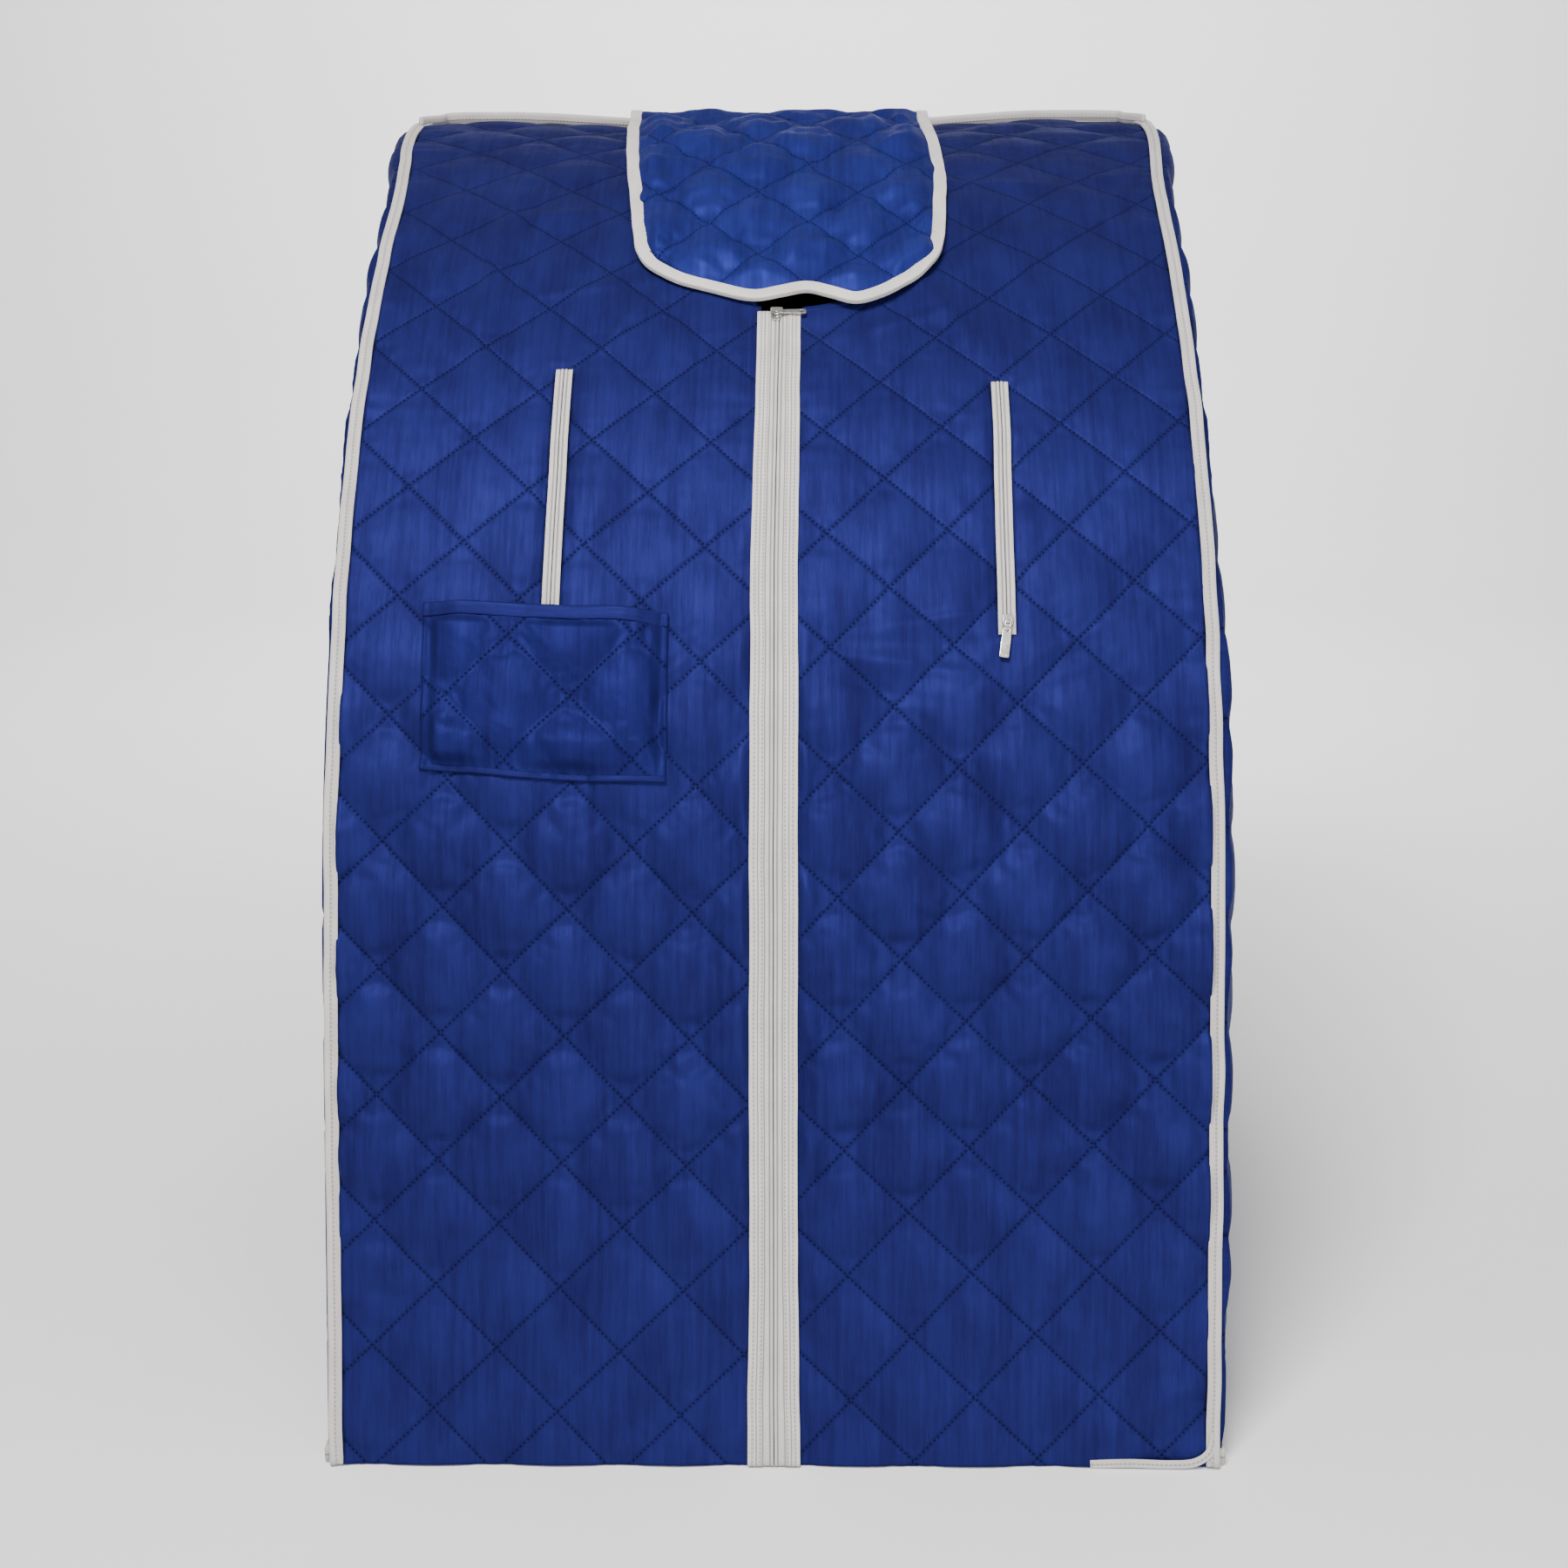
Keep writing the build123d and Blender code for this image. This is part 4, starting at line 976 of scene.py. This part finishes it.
def curve_points(points, spacing):
    """Evenly spaced points along a smooth curve through a few points."""
    points = np.asarray(points, float)
    ends = np.concatenate([[2 * points[0] - points[1]], points, [2 * points[-1] - points[-2]]])
    out = []
    for k in range(len(points) - 1):
        a, b, c, d = ends[k:k + 4]
        t = np.linspace(0, 1, 60, endpoint=False)[:, None]
        out.append(0.5 * (2 * b + (c - a) * t + (2 * a - 5 * b + 4 * c - d) * t**2
                          + (3 * b - a - 3 * c + d) * t**3))
    dense = np.concatenate(out + [points[-1:]])
    length = lengths(dense)
    at = np.linspace(0, length[-1], max(2, round(length[-1] / spacing)))
    return np.stack([np.interp(at, length, dense[:, k]) for k in range(3)], -1)


def unit(vectors):
    """The vectors, each divided by its length."""
    return vectors / np.linalg.norm(vectors, axis=-1, keepdims=True)


def directions(path):
    """Unit tangents of a path."""
    return unit(np.gradient(path, axis=0))


# the left half of the rear top seam: (x from the middle, distance in front of the rear, height above it)
REAR_EDGE = (
    (SEAM_X + 0.004, 0.060, -0.001), (SEAM_X - 0.002, 0.020, 0.001), (SEAM_X - 0.016, 0.000, 0.0035),
    (0.20, -0.001, 0.0035), (0.0, -0.001, 0.002),
)


def build_rear_binding():
    """The bound seam that stands up along the rear top edge and cuts across both corners."""
    points = [
        (sign * x, REAR_Y - back, BOW_TOP + up)
        for sign, row in ((-1, REAR_EDGE), (1, REAR_EDGE[-2::-1]))
        for x, back, up in row
    ]
    path = settle(curve_points(points, 0.004))
    path[:, 2] += sway(path[:, 0] + 5, 71, 0.04, 0.0007)
    upright = np.array([0.0, -0.25, 1.0])
    tangent = directions(path)
    out = unit(upright - (tangent @ upright)[:, None] * tangent)
    up = unit(np.cross(tangent, out))
    piece = sweep("rear_top_seam", path, out, up, fold_section(0.0068, 0.0021), TAPE)
    place(piece, "cover", ["rear_seam_binding"], "binding_tape")


build_rear_binding()


def build_corner_hem():
    """The right seam's tape, which rounds the front bottom corner and runs on under the hem."""
    points = [on_bow(SEAM_X + 0.006, 0.030, 0.0010), on_bow(SEAM_X + 0.002, 0.014, 0.0016)]
    points += [on_bow(SEAM_X - 0.010, 0.0055, 0.0016), on_bow(SEAM_X - 0.030, 0.0038, 0.0012)]
    points += [on_bow(SEAM_X - 0.060, 0.0045, 0.0006), on_bow(SEAM_X - 0.092, 0.0035, 0.0)]
    path = curve_points(points, 0.003)
    tangent = directions(path)
    outward = np.array([0.0, -cos(LEAN), sin(LEAN)])
    out = unit(np.cross(tangent, outward))
    piece = sweep("corner_hem_tape", path, out, outward, rounded(0.0034, -0.0004, 0.0018, 0.001), TAPE)
    bend(piece, [])


build_corner_hem()


def build_neck_ring():
    """The binding round the neck opening, open in front where the zip ends."""
    turn = np.linspace(-pi / 2 + 0.20, 1.5 * pi - 0.17, 150)
    radius = neck_reach((turn + pi) % (2 * pi) - pi) + 0.0005
    x, s = radius * np.cos(turn), NECK_S + radius * np.sin(turn)
    path = on_bow(x, s, -THICK / 2 + 0.0006)
    across, upward, outward = bow_directions(s)
    out = across * np.cos(turn)[:, None] + upward * np.sin(turn)[:, None]
    piece = sweep("neck_ring", path, out, outward, rounded(0.0042, -0.0046, 0.0052, 0.0028), HEM_SATIN)
    place(piece, "cover", ["neck_opening_binding"], "cover_quilt")


build_neck_ring()

# ---------------------------------------------------------------- neck flap
FLAP_REAR_S = bow_s(FLAP_AXIS.y, FLAP_AXIS.z)
FLAP_UNDER = 0.0016  # height of the flap's underside where it lies flat
FLAP_LEFT, FLAP_WIDE, FLAP_CORNER_S = -0.1245, 0.269, 1.088
# the flap's outline at rest: (x, s) along its front edge, and (s, left x, right x) up its sides
FLAP_FRONT = (
    (-0.1245, 1.090), (-0.1205, 1.066), (-0.110, 1.043), (-0.088, 1.024), (-0.054, 1.009), (-0.020, 0.996),
    (0.004, 0.9965), (0.026, 1.0015), (0.046, 0.997), (0.067, 0.991), (0.089, 0.999), (0.112, 1.019),
    (0.129, 1.039), (0.1395, 1.060), (0.1445, 1.088),
)
# the quilting's rows of crossings on the flap: (s, coordinate of the quilting)
FLAP_ROWS = (
    (0.951, -0.05), (1.005, 0.0), (1.054, 0.05), (1.108, 0.10), (1.165, 0.15), (1.225, 0.20), (1.290, 0.25),
    (1.360, 0.30), (1.430, 0.35), (1.500, 0.40),
)
FLAP_SIDES = (
    (1.08, -0.1245, 0.1445), (1.12, -0.1285, 0.1475), (1.21, -0.138, 0.152), (1.28, -0.1435, 0.149),
    (1.34, -0.147, 0.145), (1.48, -0.152, 0.144),
)


def flap_point(u, v, h):
    """Points of the flap: u across from -1 to 1, v from 0 at the rear fold to 1 at the front edge."""
    heights, lefts, rights = (np.array(column) for column in zip(*FLAP_SIDES))
    front = curve_points([(x, s, 0) for x, s in FLAP_FRONT], 0.002)
    edge_x = FLAP_LEFT + FLAP_WIDE * (u + 1) / 2
    edge = np.interp(edge_x, front[:, 0], front[:, 1])
    s = FLAP_REAR_S + (edge - FLAP_REAR_S) * v
    row = FLAP_REAR_S + (FLAP_CORNER_S - FLAP_REAR_S) * v
    left = np.interp(row, heights, lefts)
    right = np.interp(row, heights, rights)
    x = left + (right - left) * (u + 1) / 2
    fold = bell(v - 0.075, 0.075) * smooth(v, 0.0, 0.05)
    lift = fold * (0.0072 + 0.0010 * noise(u, u * 0, 0.22, 1.0, 85))
    lift += 0.0062 * smooth(v, 0.0, 0.12) * (1 - smooth(v, 0.30, 0.75))
    lift += 0.0044 * bell(x - 0.016, 0.034) * smooth(v, 0.80, 1.0)
    lift += 0.003 * bell(x - 0.10, 0.03) * smooth(v, 0.85, 1.0)
    lift += 0.003 * noise(u, v, 0.35, 0.3, 82) * smooth(v, 0.1, 0.5) + 0.0024 * smooth(v, 0.1, 0.5)
    return settle(on_bow(x, s, FLAP_UNDER + lift + h)), x, s


def out_wander(path):
    """The small waves of a tape round the flap's edge."""
    along = lengths(path)
    waves = [0.0007 * noise(along, k + 0.5, 0.022, 1.0, 87 + k) for k in range(3)]
    return np.clip(np.stack(waves, -1), -0.0006, 0.0006)


def build_flap():
    """The flap that folds over the neck opening."""
    across = np.sin(pi / 2 * np.linspace(-1, 1, 120))
    u, v = np.meshgrid(across, np.linspace(0, 1, 150), indexing="ij")
    _, x, s = flap_point(u, v, 0)
    rows, repeats = (np.array(column) for column in zip(*FLAP_ROWS))
    across = 1.14 - 0.42 * np.maximum(s - 1.10, 0)
    quilting = (QUILT_PITCH + across * (x - 0.027), np.interp(s, rows, repeats))
    pillow, pucker = quilt(*quilting, 83, 0.0011)
    rim = np.minimum((1 - np.abs(u)) * FLAP_HALF, (1 - v) * 0.42)
    crest = 1 - 0.75 * bell(v - 0.07, 0.07)
    full = 0.0030 + (0.0092 * pillow + pucker) * smooth(rim, 0.005, 0.024) * crest
    full += 0.0022 * noise(x + s, x - s, 0.030, 0.022, 84) * smooth(rim, 0.0, 0.02) * crest
    full += 0.0016 * noise(x, s, 0.013, 0.034, 86) * smooth(rim, 0.0, 0.02) * crest
    outer, _, _ = flap_point(u, v, full)
    inner, _, _ = flap_point(u, v, 0 * full)
    piece = shell("neck_flap_quilt", outer, inner, (x, s), [LIT_FLAP_SATIN, LINING], None, True, quilting)
    place(piece, "neck_flap", ["neck_flap_panel"], "flap_quilt")
    t = np.linspace(0, 1, 90)
    left = np.stack([0 * t - 1, t], -1)
    front = np.stack([np.sin(pi / 2 * np.linspace(-1, 1, 150)), np.ones(150)], -1)[1:-1]
    right = np.stack([0 * t + 1, 1 - t], -1)
    route = np.concatenate([left, front, right])
    path, _, s = flap_point(route[:, 0], route[:, 1], 0.0017)
    tangent = directions(path)
    _, _, outward = bow_directions(s)
    up = unit(outward - np.sum(outward * tangent, -1)[:, None] * tangent)
    out = np.cross(tangent, up)
    path = path + out_wander(path)
    half = 0.0051
    section = [(a - half + 0.0020, b) for a, b in rounded(half + 0.0008, -0.0025, 0.0028, 0.0013)]
    tape = sweep("neck_flap_tape", path, out, up, section, FLAP_TAPE)
    place(tape, "neck_flap", ["neck_flap_binding"], "binding_tape")


FLAP_TAPE = ribbon("flap_tape", (0.44, 0.41, 0.39), (0.64, 0.60, 0.575), (-0.0095,))
build_flap()

# ---------------------------------------------------------------- main zip
S_ZIP = np.linspace(0.0015, ZIP_TOP - 0.003, 246)


def coil_section(reach, hand):
    """One side of a closed zip: a groove in the middle, a ribbed coil, a groove, then flat tape."""
    half = [
        (0.0002, -0.0014), (0.0002, 0.0), (0.0005, 0.0007), (0.0010, 0.0012), (0.0016, 0.0013),
        (0.0022, 0.0011), (0.0026, 0.0006), (0.0029, 0.0), (0.0032, -0.0002), (0.0035, 0.0001),
        (0.0038, 0.0005), (0.0043, 0.0007), (reach - 0.0004, 0.0006), (reach, 0.0003), (reach, -0.0014),
    ]
    return [(hand * a, b) for a, b in half][::-hand]


def build_main_zip(side, sign):
    """One tape with its bound edge, and one run of coil under its ribbed cover."""
    section = rounded(0.0062, -0.0008, 0.0019, 0.001)
    edge = sweep_on_bow(f"zip_{side}_binding", sign * 0.0128, section, ZIP_TAPE)
    bend(edge, [f"{side}_front_zip_tape"])
    coil = sweep_on_bow(f"zip_{side}_coil", 0.0, coil_section(0.0090, sign), ZIP_CLOTH)
    bend(coil, [f"{side}_front_zip_teeth"])


def sweep_on_bow(name, x, section, material):
    """A band of the main zip. Its cloth coordinate across is its distance from the zip's middle."""
    widen = 1 + 0.14 * (1 - smooth(S_ZIP, 0.0, 0.2)) - 0.04 * smooth(S_ZIP, 0.75, 0.95)
    middle = 0.0022 * smooth(S_ZIP, 0.72, 0.97) + sway(S_ZIP, 93, 0.06, 0.0005)
    wander = sway(S_ZIP, 95 if x < 0 else 96, 0.03, 0.0004) * (x != 0)
    piece = bow_band(name, x * widen + middle + wander, S_ZIP, section, material, 0.0006)
    cloth = piece.data.attributes["cloth"].data
    values = np.zeros(len(cloth) * 3, np.float32)
    cloth.foreach_get("vector", values)
    values[0::3] = np.abs(values[0::3] + x)
    cloth.foreach_set("vector", values)
    return piece


for side, sign in SIDES.items():
    build_main_zip(side, sign)
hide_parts("upper_zip_tapes")
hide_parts("upper_zip_teeth")


def build_arm_zip(side):
    """An arm opening's zip: two ribbed tapes that meet in the middle."""
    _, s_low, s_high = ARM_SLOTS[side]
    s = np.linspace(s_low, s_high, 90)
    for name, hand in SIDES.items():
        section = coil_section(ARM_TAPE, hand)
        piece = bow_band(f"{side}_arm_zip_{name}", arm_line(side, s), s, section, ZIP_CLOTH, -0.0002)
        nodes = {-1: [f"{side}_arm_zip_tapes"], 1: ["arm_zip_teeth"] if side == "left" else []}[hand]
        place(piece, "cover", nodes, "zip_tape")


for side in ARM_SLOTS:
    build_arm_zip(side)


# ---------------------------------------------------------------- zip sliders
def bow_matrix(x, s):
    """A frame on the bow: local x across, y up the bow, z outwards."""
    across, upward, outward = (Vector(v[0]) for v in bow_directions(np.array([s])))
    turn = Matrix((across, upward, outward)).transposed().to_4x4()
    return Matrix.Translation(Vector(on_bow(x, s))) @ turn


def solid(name, outline, low, high, matrix, bevel=0.0003, holes=()):
    """A bevelled nickel plate from an outline, between two heights in a local frame."""
    curve = bpy.data.curves.new(name, "CURVE")
    curve.dimensions, curve.fill_mode = "2D", "BOTH"
    for ring in (outline, *holes):
        spline = curve.splines.new("POLY")
        spline.points.add(len(ring) - 1)
        for point, (x, y) in zip(spline.points, ring):
            point.co = (x, y, 0, 1)
        spline.use_cyclic_u = True
    curve.extrude = max((high - low) / 2 - bevel, 1e-5)
    curve.bevel_depth, curve.bevel_resolution, curve.offset = bevel, 2, -bevel
    temporary = link(name + "_curve", curve)
    depsgraph = bpy.context.evaluated_depsgraph_get()
    data = bpy.data.meshes.new_from_object(temporary.evaluated_get(depsgraph))
    bpy.data.objects.remove(temporary)
    data.transform(matrix @ Matrix.Translation((0, 0, (low + high) / 2)))
    data.materials.clear()
    data.materials.append(NICKEL)
    data.polygons.foreach_set("use_smooth", [False] * len(data.polygons))
    return link(name, data)


def oval(cx, cy, rx, ry, count=28):
    """An ellipse's outline."""
    return [(cx + rx * cos(2 * pi * k / count), cy + ry * sin(2 * pi * k / count)) for k in range(count)]


def rounded_outline(cx, cy, width, length, corner):
    """A rounded rectangle's outline."""
    return [(cx + a, cy + b) for a, b in rounded(width / 2, -length / 2, length / 2, corner, 6)]


def shield(width, length):
    """A slider plate's outline, wider at the end where the two runs of teeth part."""
    half, tall = width / 2, length / 2
    return [
        (-half, tall - 0.002), (-half + 0.001, tall - 0.0005), (-0.0012, tall), (0.0012, tall),
        (half - 0.001, tall - 0.0005), (half, tall - 0.002), (half * 0.92, 0), (half * 0.66, -tall + 0.001),
        (half * 0.5, -tall), (-half * 0.5, -tall), (-half * 0.66, -tall + 0.001), (-half * 0.92, 0),
    ]


def join(name, pieces):
    """Joins mesh objects into the first one."""
    with bpy.context.temp_override(active_object=pieces[0], selected_editable_objects=pieces):
        bpy.ops.object.join()
    pieces[0].name = name
    return pieces[0]


def wire(name, points, radius, matrix):
    """A round nickel wire bent through points in a local frame."""
    path = curve_points(points, 0.0004)
    tangent = directions(path)
    side = np.array([0.31, 0.77, 0.56])
    out = unit(side - (tangent @ side)[:, None] * tangent)
    up = np.cross(tangent, out)
    ring = [(radius * cos(2 * pi * k / 12), radius * sin(2 * pi * k / 12)) for k in range(12)]
    piece = sweep(name, path, out, up, ring, NICKEL)
    piece.data.transform(matrix)
    return piece


def build_main_slider():
    """The main slider and its pull tab, which lies across the zip."""
    s = bow_s(MAIN_PIVOT.y, MAIN_PIVOT.z)
    at = bow_matrix(0.0, s)
    parts = [
        solid("main_top", shield(0.0112, 0.0165), 0.0017, 0.0034, at, 0.0004),
        solid("main_under", shield(0.0108, 0.016), -0.0040, -0.0024, at, 0.0004),
        solid("main_wedge", rounded_outline(0, 0.0058, 0.0011, 0.0034, 0.0004), -0.0026, 0.0019, at, 0.0001),
        solid("main_stud", oval(0, 0, 0.0012, 0.0012), 0.0032, 0.0062, at, 0.0001),
        solid("main_cap", oval(0, 0, 0.0021, 0.0021), 0.0059, 0.0069, at, 0.0004),
    ]
    place(join("main_slider_body", parts), "main_slider", ["main_zip_slider"], "zip_metal")
    head = oval(0, 0, 0.0034, 0.0034)
    tab = [(0.0025, -0.0019), (0.0065, -0.0022), (0.0238, -0.0030), (0.0252, -0.0024), (0.0256, 0.0)]
    outline = tab + [(x, -y) for x, y in tab[:-1]][::-1]
    pulls = [
        solid("pull_head", head, 0.0040, 0.0055, at, 0.0003, [oval(0, 0, 0.00135, 0.00135)]),
        solid("pull_tab", outline, 0.0040, 0.0055, at, 0.0004, [oval(0.0212, 0, 0.0017, 0.0009)]),
    ]
    place(join("main_pull_tab", pulls), "main_pull", ["main_zip_pull"], "zip_metal")


build_main_slider()
ARM_SLIDER_S = bow_s(*JOINTS["right_arm_pull_swing"]["pos_m"][1:])
PIN_HEIGHT = 0.0039
TAB_TILT = radians(8)
BRIDGE = ((-0.0030, 0.0024), (-0.0016, 0.0042), (0.0, 0.0048), (0.0016, 0.0042), (0.0030, 0.0024))


def build_arm_slider(side, tab_body):
    """An arm zip's slider with its bridge, and the pull tab that hangs from it."""
    arm_x = ARM_SLOTS[side][0]
    at = bow_matrix(arm_x, ARM_SLIDER_S)
    parts = [
        solid(f"{side}_top", shield(0.0092, 0.0142), 0.0015, 0.0026, at, 0.0003),
        solid(f"{side}_under", shield(0.0088, 0.0138), -0.0033, -0.0021, at, 0.0003),
        solid(f"{side}_wedge", rounded_outline(0, 0.0048, 0.001, 0.003, 0.0004), -0.0023, 0.0017, at, 0.0001),
    ]
    for x in (-0.0031, 0.0031):
        parts.append(wire(f"{side}_bridge", [(x, y, z) for y, z in BRIDGE], 0.00055, at))
    pin = [(x, 0, PIN_HEIGHT) for x in (-0.0035, -0.001, 0.001, 0.0035)]
    parts.append(wire(f"{side}_pin", pin, 0.0006, at))
    slider = join(f"{side}_arm_slider_body", parts)
    place(slider, f"{side}_arm_slider", [f"{side}_arm_zip_slider"], "zip_metal")
    eye = [(-0.0018, -0.0040), (-0.0021, -0.0006), (-0.0012, 0.0012)]
    eye = [(x, y, PIN_HEIGHT) for x, y in eye + [(-x, y) for x, y in eye[::-1]]]
    tab = [(0.0019, -0.0046), (0.0037, -0.0068), (0.0039, -0.0290), (0.0034, -0.0299), (0.0, -0.0301)]
    outline = tab + [(-x, y) for x, y in tab[:-1]][::-1]
    hang = at @ Matrix.Rotation(-TAB_TILT, 4, "Z")
    slot = [oval(0, -0.0073, 0.0016, 0.0009)]
    pulls = [
        wire(f"{side}_eye", eye, 0.00065, hang),
        solid(f"{side}_tab", outline, PIN_HEIGHT - 0.0007, PIN_HEIGHT + 0.0007, hang, 0.0004, slot),
    ]
    place(join(f"{side}_arm_pull_tab", pulls), tab_body, [f"{side}_arm_zip_pull"], "zip_metal")


build_arm_slider("left", "left_arm_slider")
build_arm_slider("right", "right_arm_pull")


# ---------------------------------------------------------------- pocket
POCKET_LOW, POCKET_TALL = 0.554, 0.137
POCKET_PUFF = 0.0052


def build_pocket():
    """The pocket: a quilted pouch, sewn down on three sides and open at its hemmed top edge."""
    low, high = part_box("remote_pocket")
    wide = high.x - low.x
    a, b = np.meshgrid(np.linspace(0, 1, 100), np.linspace(0, 1, 72), indexing="ij")
    x = low.x + 0.004 + wide * 0.985 * a + 0.003 * (1 - b) * (1 - a)
    s = POCKET_LOW + POCKET_TALL * b - 0.0105 * a + 0.0012 * noise(a, b, 0.2, 0.5, 101)
    s = s - 0.003 * np.sin(pi * a) * (1 - b)
    quilting = (x + 0.0105, s + 0.04)
    pillow, pucker = quilt(*quilting, 102, 0.0010)
    side_rim = np.minimum(a, 1 - a) * wide
    low_rim, high_rim = b * POCKET_TALL, (1 - b) * POCKET_TALL
    bag = smooth(side_rim, 0.0, 0.035) * smooth(low_rim, 0.0, 0.030)
    sewn = smooth(side_rim, 0.006, 0.014) * smooth(low_rim, 0.004, 0.014)
    hem = smooth(high_rim, 0.0115, 0.020)
    relief = 0.0022 + sewn * (0.0004 + (0.0068 * pillow + 1.4 * pucker) * hem)
    relief += 0.0046 * sewn * bell(low_rim - 0.028, 0.014)
    relief -= 0.0008 * bell(side_rim - 0.0058, 0.0014) * (low_rim > 0.004)
    relief += 0.0010 * noise(x, s, 0.05, 0.04, 103) * sewn
    relief += 0.0008 * noise(x, s * 0, 0.006, 1.0, 104) * np.exp(-np.abs(high_rim - 0.011) / 0.006)
    relief += 0.0006 * noise(x, s * 0, 0.008, 1.0, 105) * np.exp(-low_rim / 0.010)
    base = front_relief(x, s, -1)
    base = base + (0.0022 - base) * bag
    lift = POCKET_PUFF * bag
    outer = on_bow(x, s, base + lift + relief)
    inner = on_bow(x, s, base + (0.0003 + lift))
    # the pocket's satin is painted darker as shade
    piece = shell("pocket_quilt", outer, inner, (x, s), [SHADED_POCKET_SATIN, SHADED_POCKET_SATIN], None, True, quilting)
    place(piece, "cover", ["remote_pocket"], "pocket_quilt")
    for name, row, half, thick in (
        ("pocket_top_hem", 0.955, 0.0056, 0.0017), ("pocket_low_hem", 0.012, 0.0026, 0.0014),
    ):
        middle = [[np.interp(row, b[0], column[:, axis]) for axis in range(3)] for column in outer]
        path = curve_points(middle, 0.002)
        tangent = directions(path)
        outward = np.array([0.0, -cos(LEAN + 0.27), sin(LEAN + 0.27)])
        up = unit(outward - (tangent @ outward)[:, None] * tangent)
        crease = thick * (1 + 0.25 * noise(path[:, 0], 0.5, 0.011, 1.0, 106))
        path = path + up * (crease - thick)[:, None]
        band = rounded(half, -0.0016, thick, 0.0012)
        piece = sweep(name, path, np.cross(tangent, up), up, band, HEM_SATIN)
        place(piece, "cover", [], "pocket_quilt")


build_pocket()


# ---------------------------------------------------------------- heaters
def build_pad(name, node, axis, sign, material, cells, slot):
    """A flat heater: a thin pad with stitched channels and a bound rim."""
    low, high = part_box(node)
    axes = [k for k in range(3) if k != axis]
    size = [high[k] - low[k] for k in axes]
    p, q = np.meshgrid(np.linspace(-1, 1, 110), np.linspace(-1, 1, 130), indexing="ij")
    # a square grid rounded at its corners
    r = 0.10
    a = p * np.sqrt(1 - r * q**8 / 2)
    b = q * np.sqrt(1 - r * p**8 / 2)
    u, v = a * size[0] / 2, b * size[1] / 2
    rim = np.minimum((1 - np.abs(p)) * size[0] / 2, (1 - np.abs(q)) * size[1] / 2)
    channel = np.abs(np.sin(pi * cells * (q + 1) / 2)) ** 0.4
    thick = high[axis] - low[axis]
    rise = thick * (0.45 + 0.3 * channel * smooth(rim, 0.012, 0.02) + 0.15 * (1 - smooth(rim, 0.010, 0.013)))
    rise = rise * (0.35 + 0.65 * smooth(rim, 0.0, 0.004)) + 0.0004 * noise(u, v, 0.03, 0.03, 111)
    face = low[axis] if sign > 0 else high[axis]
    grids = []
    for height in (rise, 0 * rise):
        points = np.zeros((*u.shape, 3))
        points[..., axes[0]] = (low[axes[0]] + high[axes[0]]) / 2 + u
        points[..., axes[1]] = (low[axes[1]] + high[axes[1]]) / 2 + v
        points[..., axis] = face + sign * height
        grids.append(points)
    flip = (sign < 0) == (axis != 1)
    piece = shell(name, grids[0], grids[1], (u, v), [material, material], flip=flip)
    place(piece, "cover", [node], slot)


build_pad("heater_left", "left_heater_panel", 0, 1, HEATER_CLOTH, 6, "heater_cloth")
build_pad("heater_right", "right_heater_panel", 0, -1, HEATER_CLOTH, 6, "heater_cloth")
build_pad("heater_rear", "rear_heater_panel", 1, -1, HEATER_CLOTH, 7, "heater_cloth")
build_pad("foot_pad", "foot_heater_pad", 2, 1, PAD_RUBBER, 5, "heater_rubber")

# ---------------------------------------------------------------- CAD pieces that stay
FINISHES = {
    "frame_tube": TUBE_PAINT, "corner_plastic": CORNER_PLASTIC, "ferrule_steel": STEEL,
    "box_plastic": BOX_PLASTIC, "screw_steel": STEEL, "pin_brass": BRASS, "circuit_board": BOARD,
    "rocker_plastic": ROCKER,
}
for part in frame["record"]["subparts"]:
    if part["material_slot"] in FINISHES:
        node = frame["nodes"][part["node"]]
        node.data.materials.clear()
        node.data.materials.append(FINISHES[part["material_slot"]])

# ---------------------------------------------------------------- stage
BACKDROP_Y, BACKDROP_R = 3.2, 1.6


def build_stage():
    """A pale floor that curves up into a backdrop, and soft lights."""
    run = [(-6.0, 0.0), (BACKDROP_Y, 0.0)]
    for t in np.linspace(0.1, pi / 2, 14):
        run.append((BACKDROP_Y + BACKDROP_R * sin(t), BACKDROP_R - BACKDROP_R * cos(t)))
    run.append((BACKDROP_Y + BACKDROP_R, 2.5))
    points = np.array([[(x, y, z) for y, z in run] for x in (-9.0, 9.0)])
    n, m = points.shape[:2]
    grid = np.arange(n * m).reshape(n, m)
    cells = grid_cells(grid).reshape(-1, 4)
    nodes = Nodes("pale_floor")
    at = nodes.axes()
    speck = nodes.noise(at, (3,) * 3)
    colour = nodes.mix(speck, (0.86, 0.86, 0.86), (0.90, 0.90, 0.90))
    floor = make_mesh("studio_floor", points.reshape(-1, 3), [cells], [nodes.finish(colour, 0.9)])
    world = bpy.data.worlds.new("studio")
    world.use_nodes = True
    tree = world.node_tree
    background = tree.nodes["Background"]
    background.inputs["Color"].default_value = (1.0, 1.0, 1.0, 1.0)
    split = tree.nodes.new("ShaderNodeSeparateXYZ")
    tree.links.new(tree.nodes.new("ShaderNodeTexCoord").outputs["Generated"], split.inputs[0])
    fade = tree.nodes.new("ShaderNodeMapRange")
    fade.interpolation_type = "SMOOTHSTEP"
    tree.links.new(split.outputs[2], fade.inputs[0])
    for socket, number in zip(fade.inputs[1:5], (0.18, 0.45, 0.80, 0.40)):
        socket.default_value = number
    tree.links.new(fade.outputs[0], background.inputs["Strength"])
    SCENE.world = world
    target = (0.0, -0.2, 0.6)
    add_light("key", (-0.5, -1.75, 3.25), target, 1.1, 172)
    add_light("fill", (1.2, -3.2, 0.9), (0, -0.3, 0.35), 1.8, 62)
    add_light("backdrop", (0.0, 1.9, 2.9), (0.0, 4.6, 0.9), 2.0, 190)


build_stage()

low, high = CAD_BOX
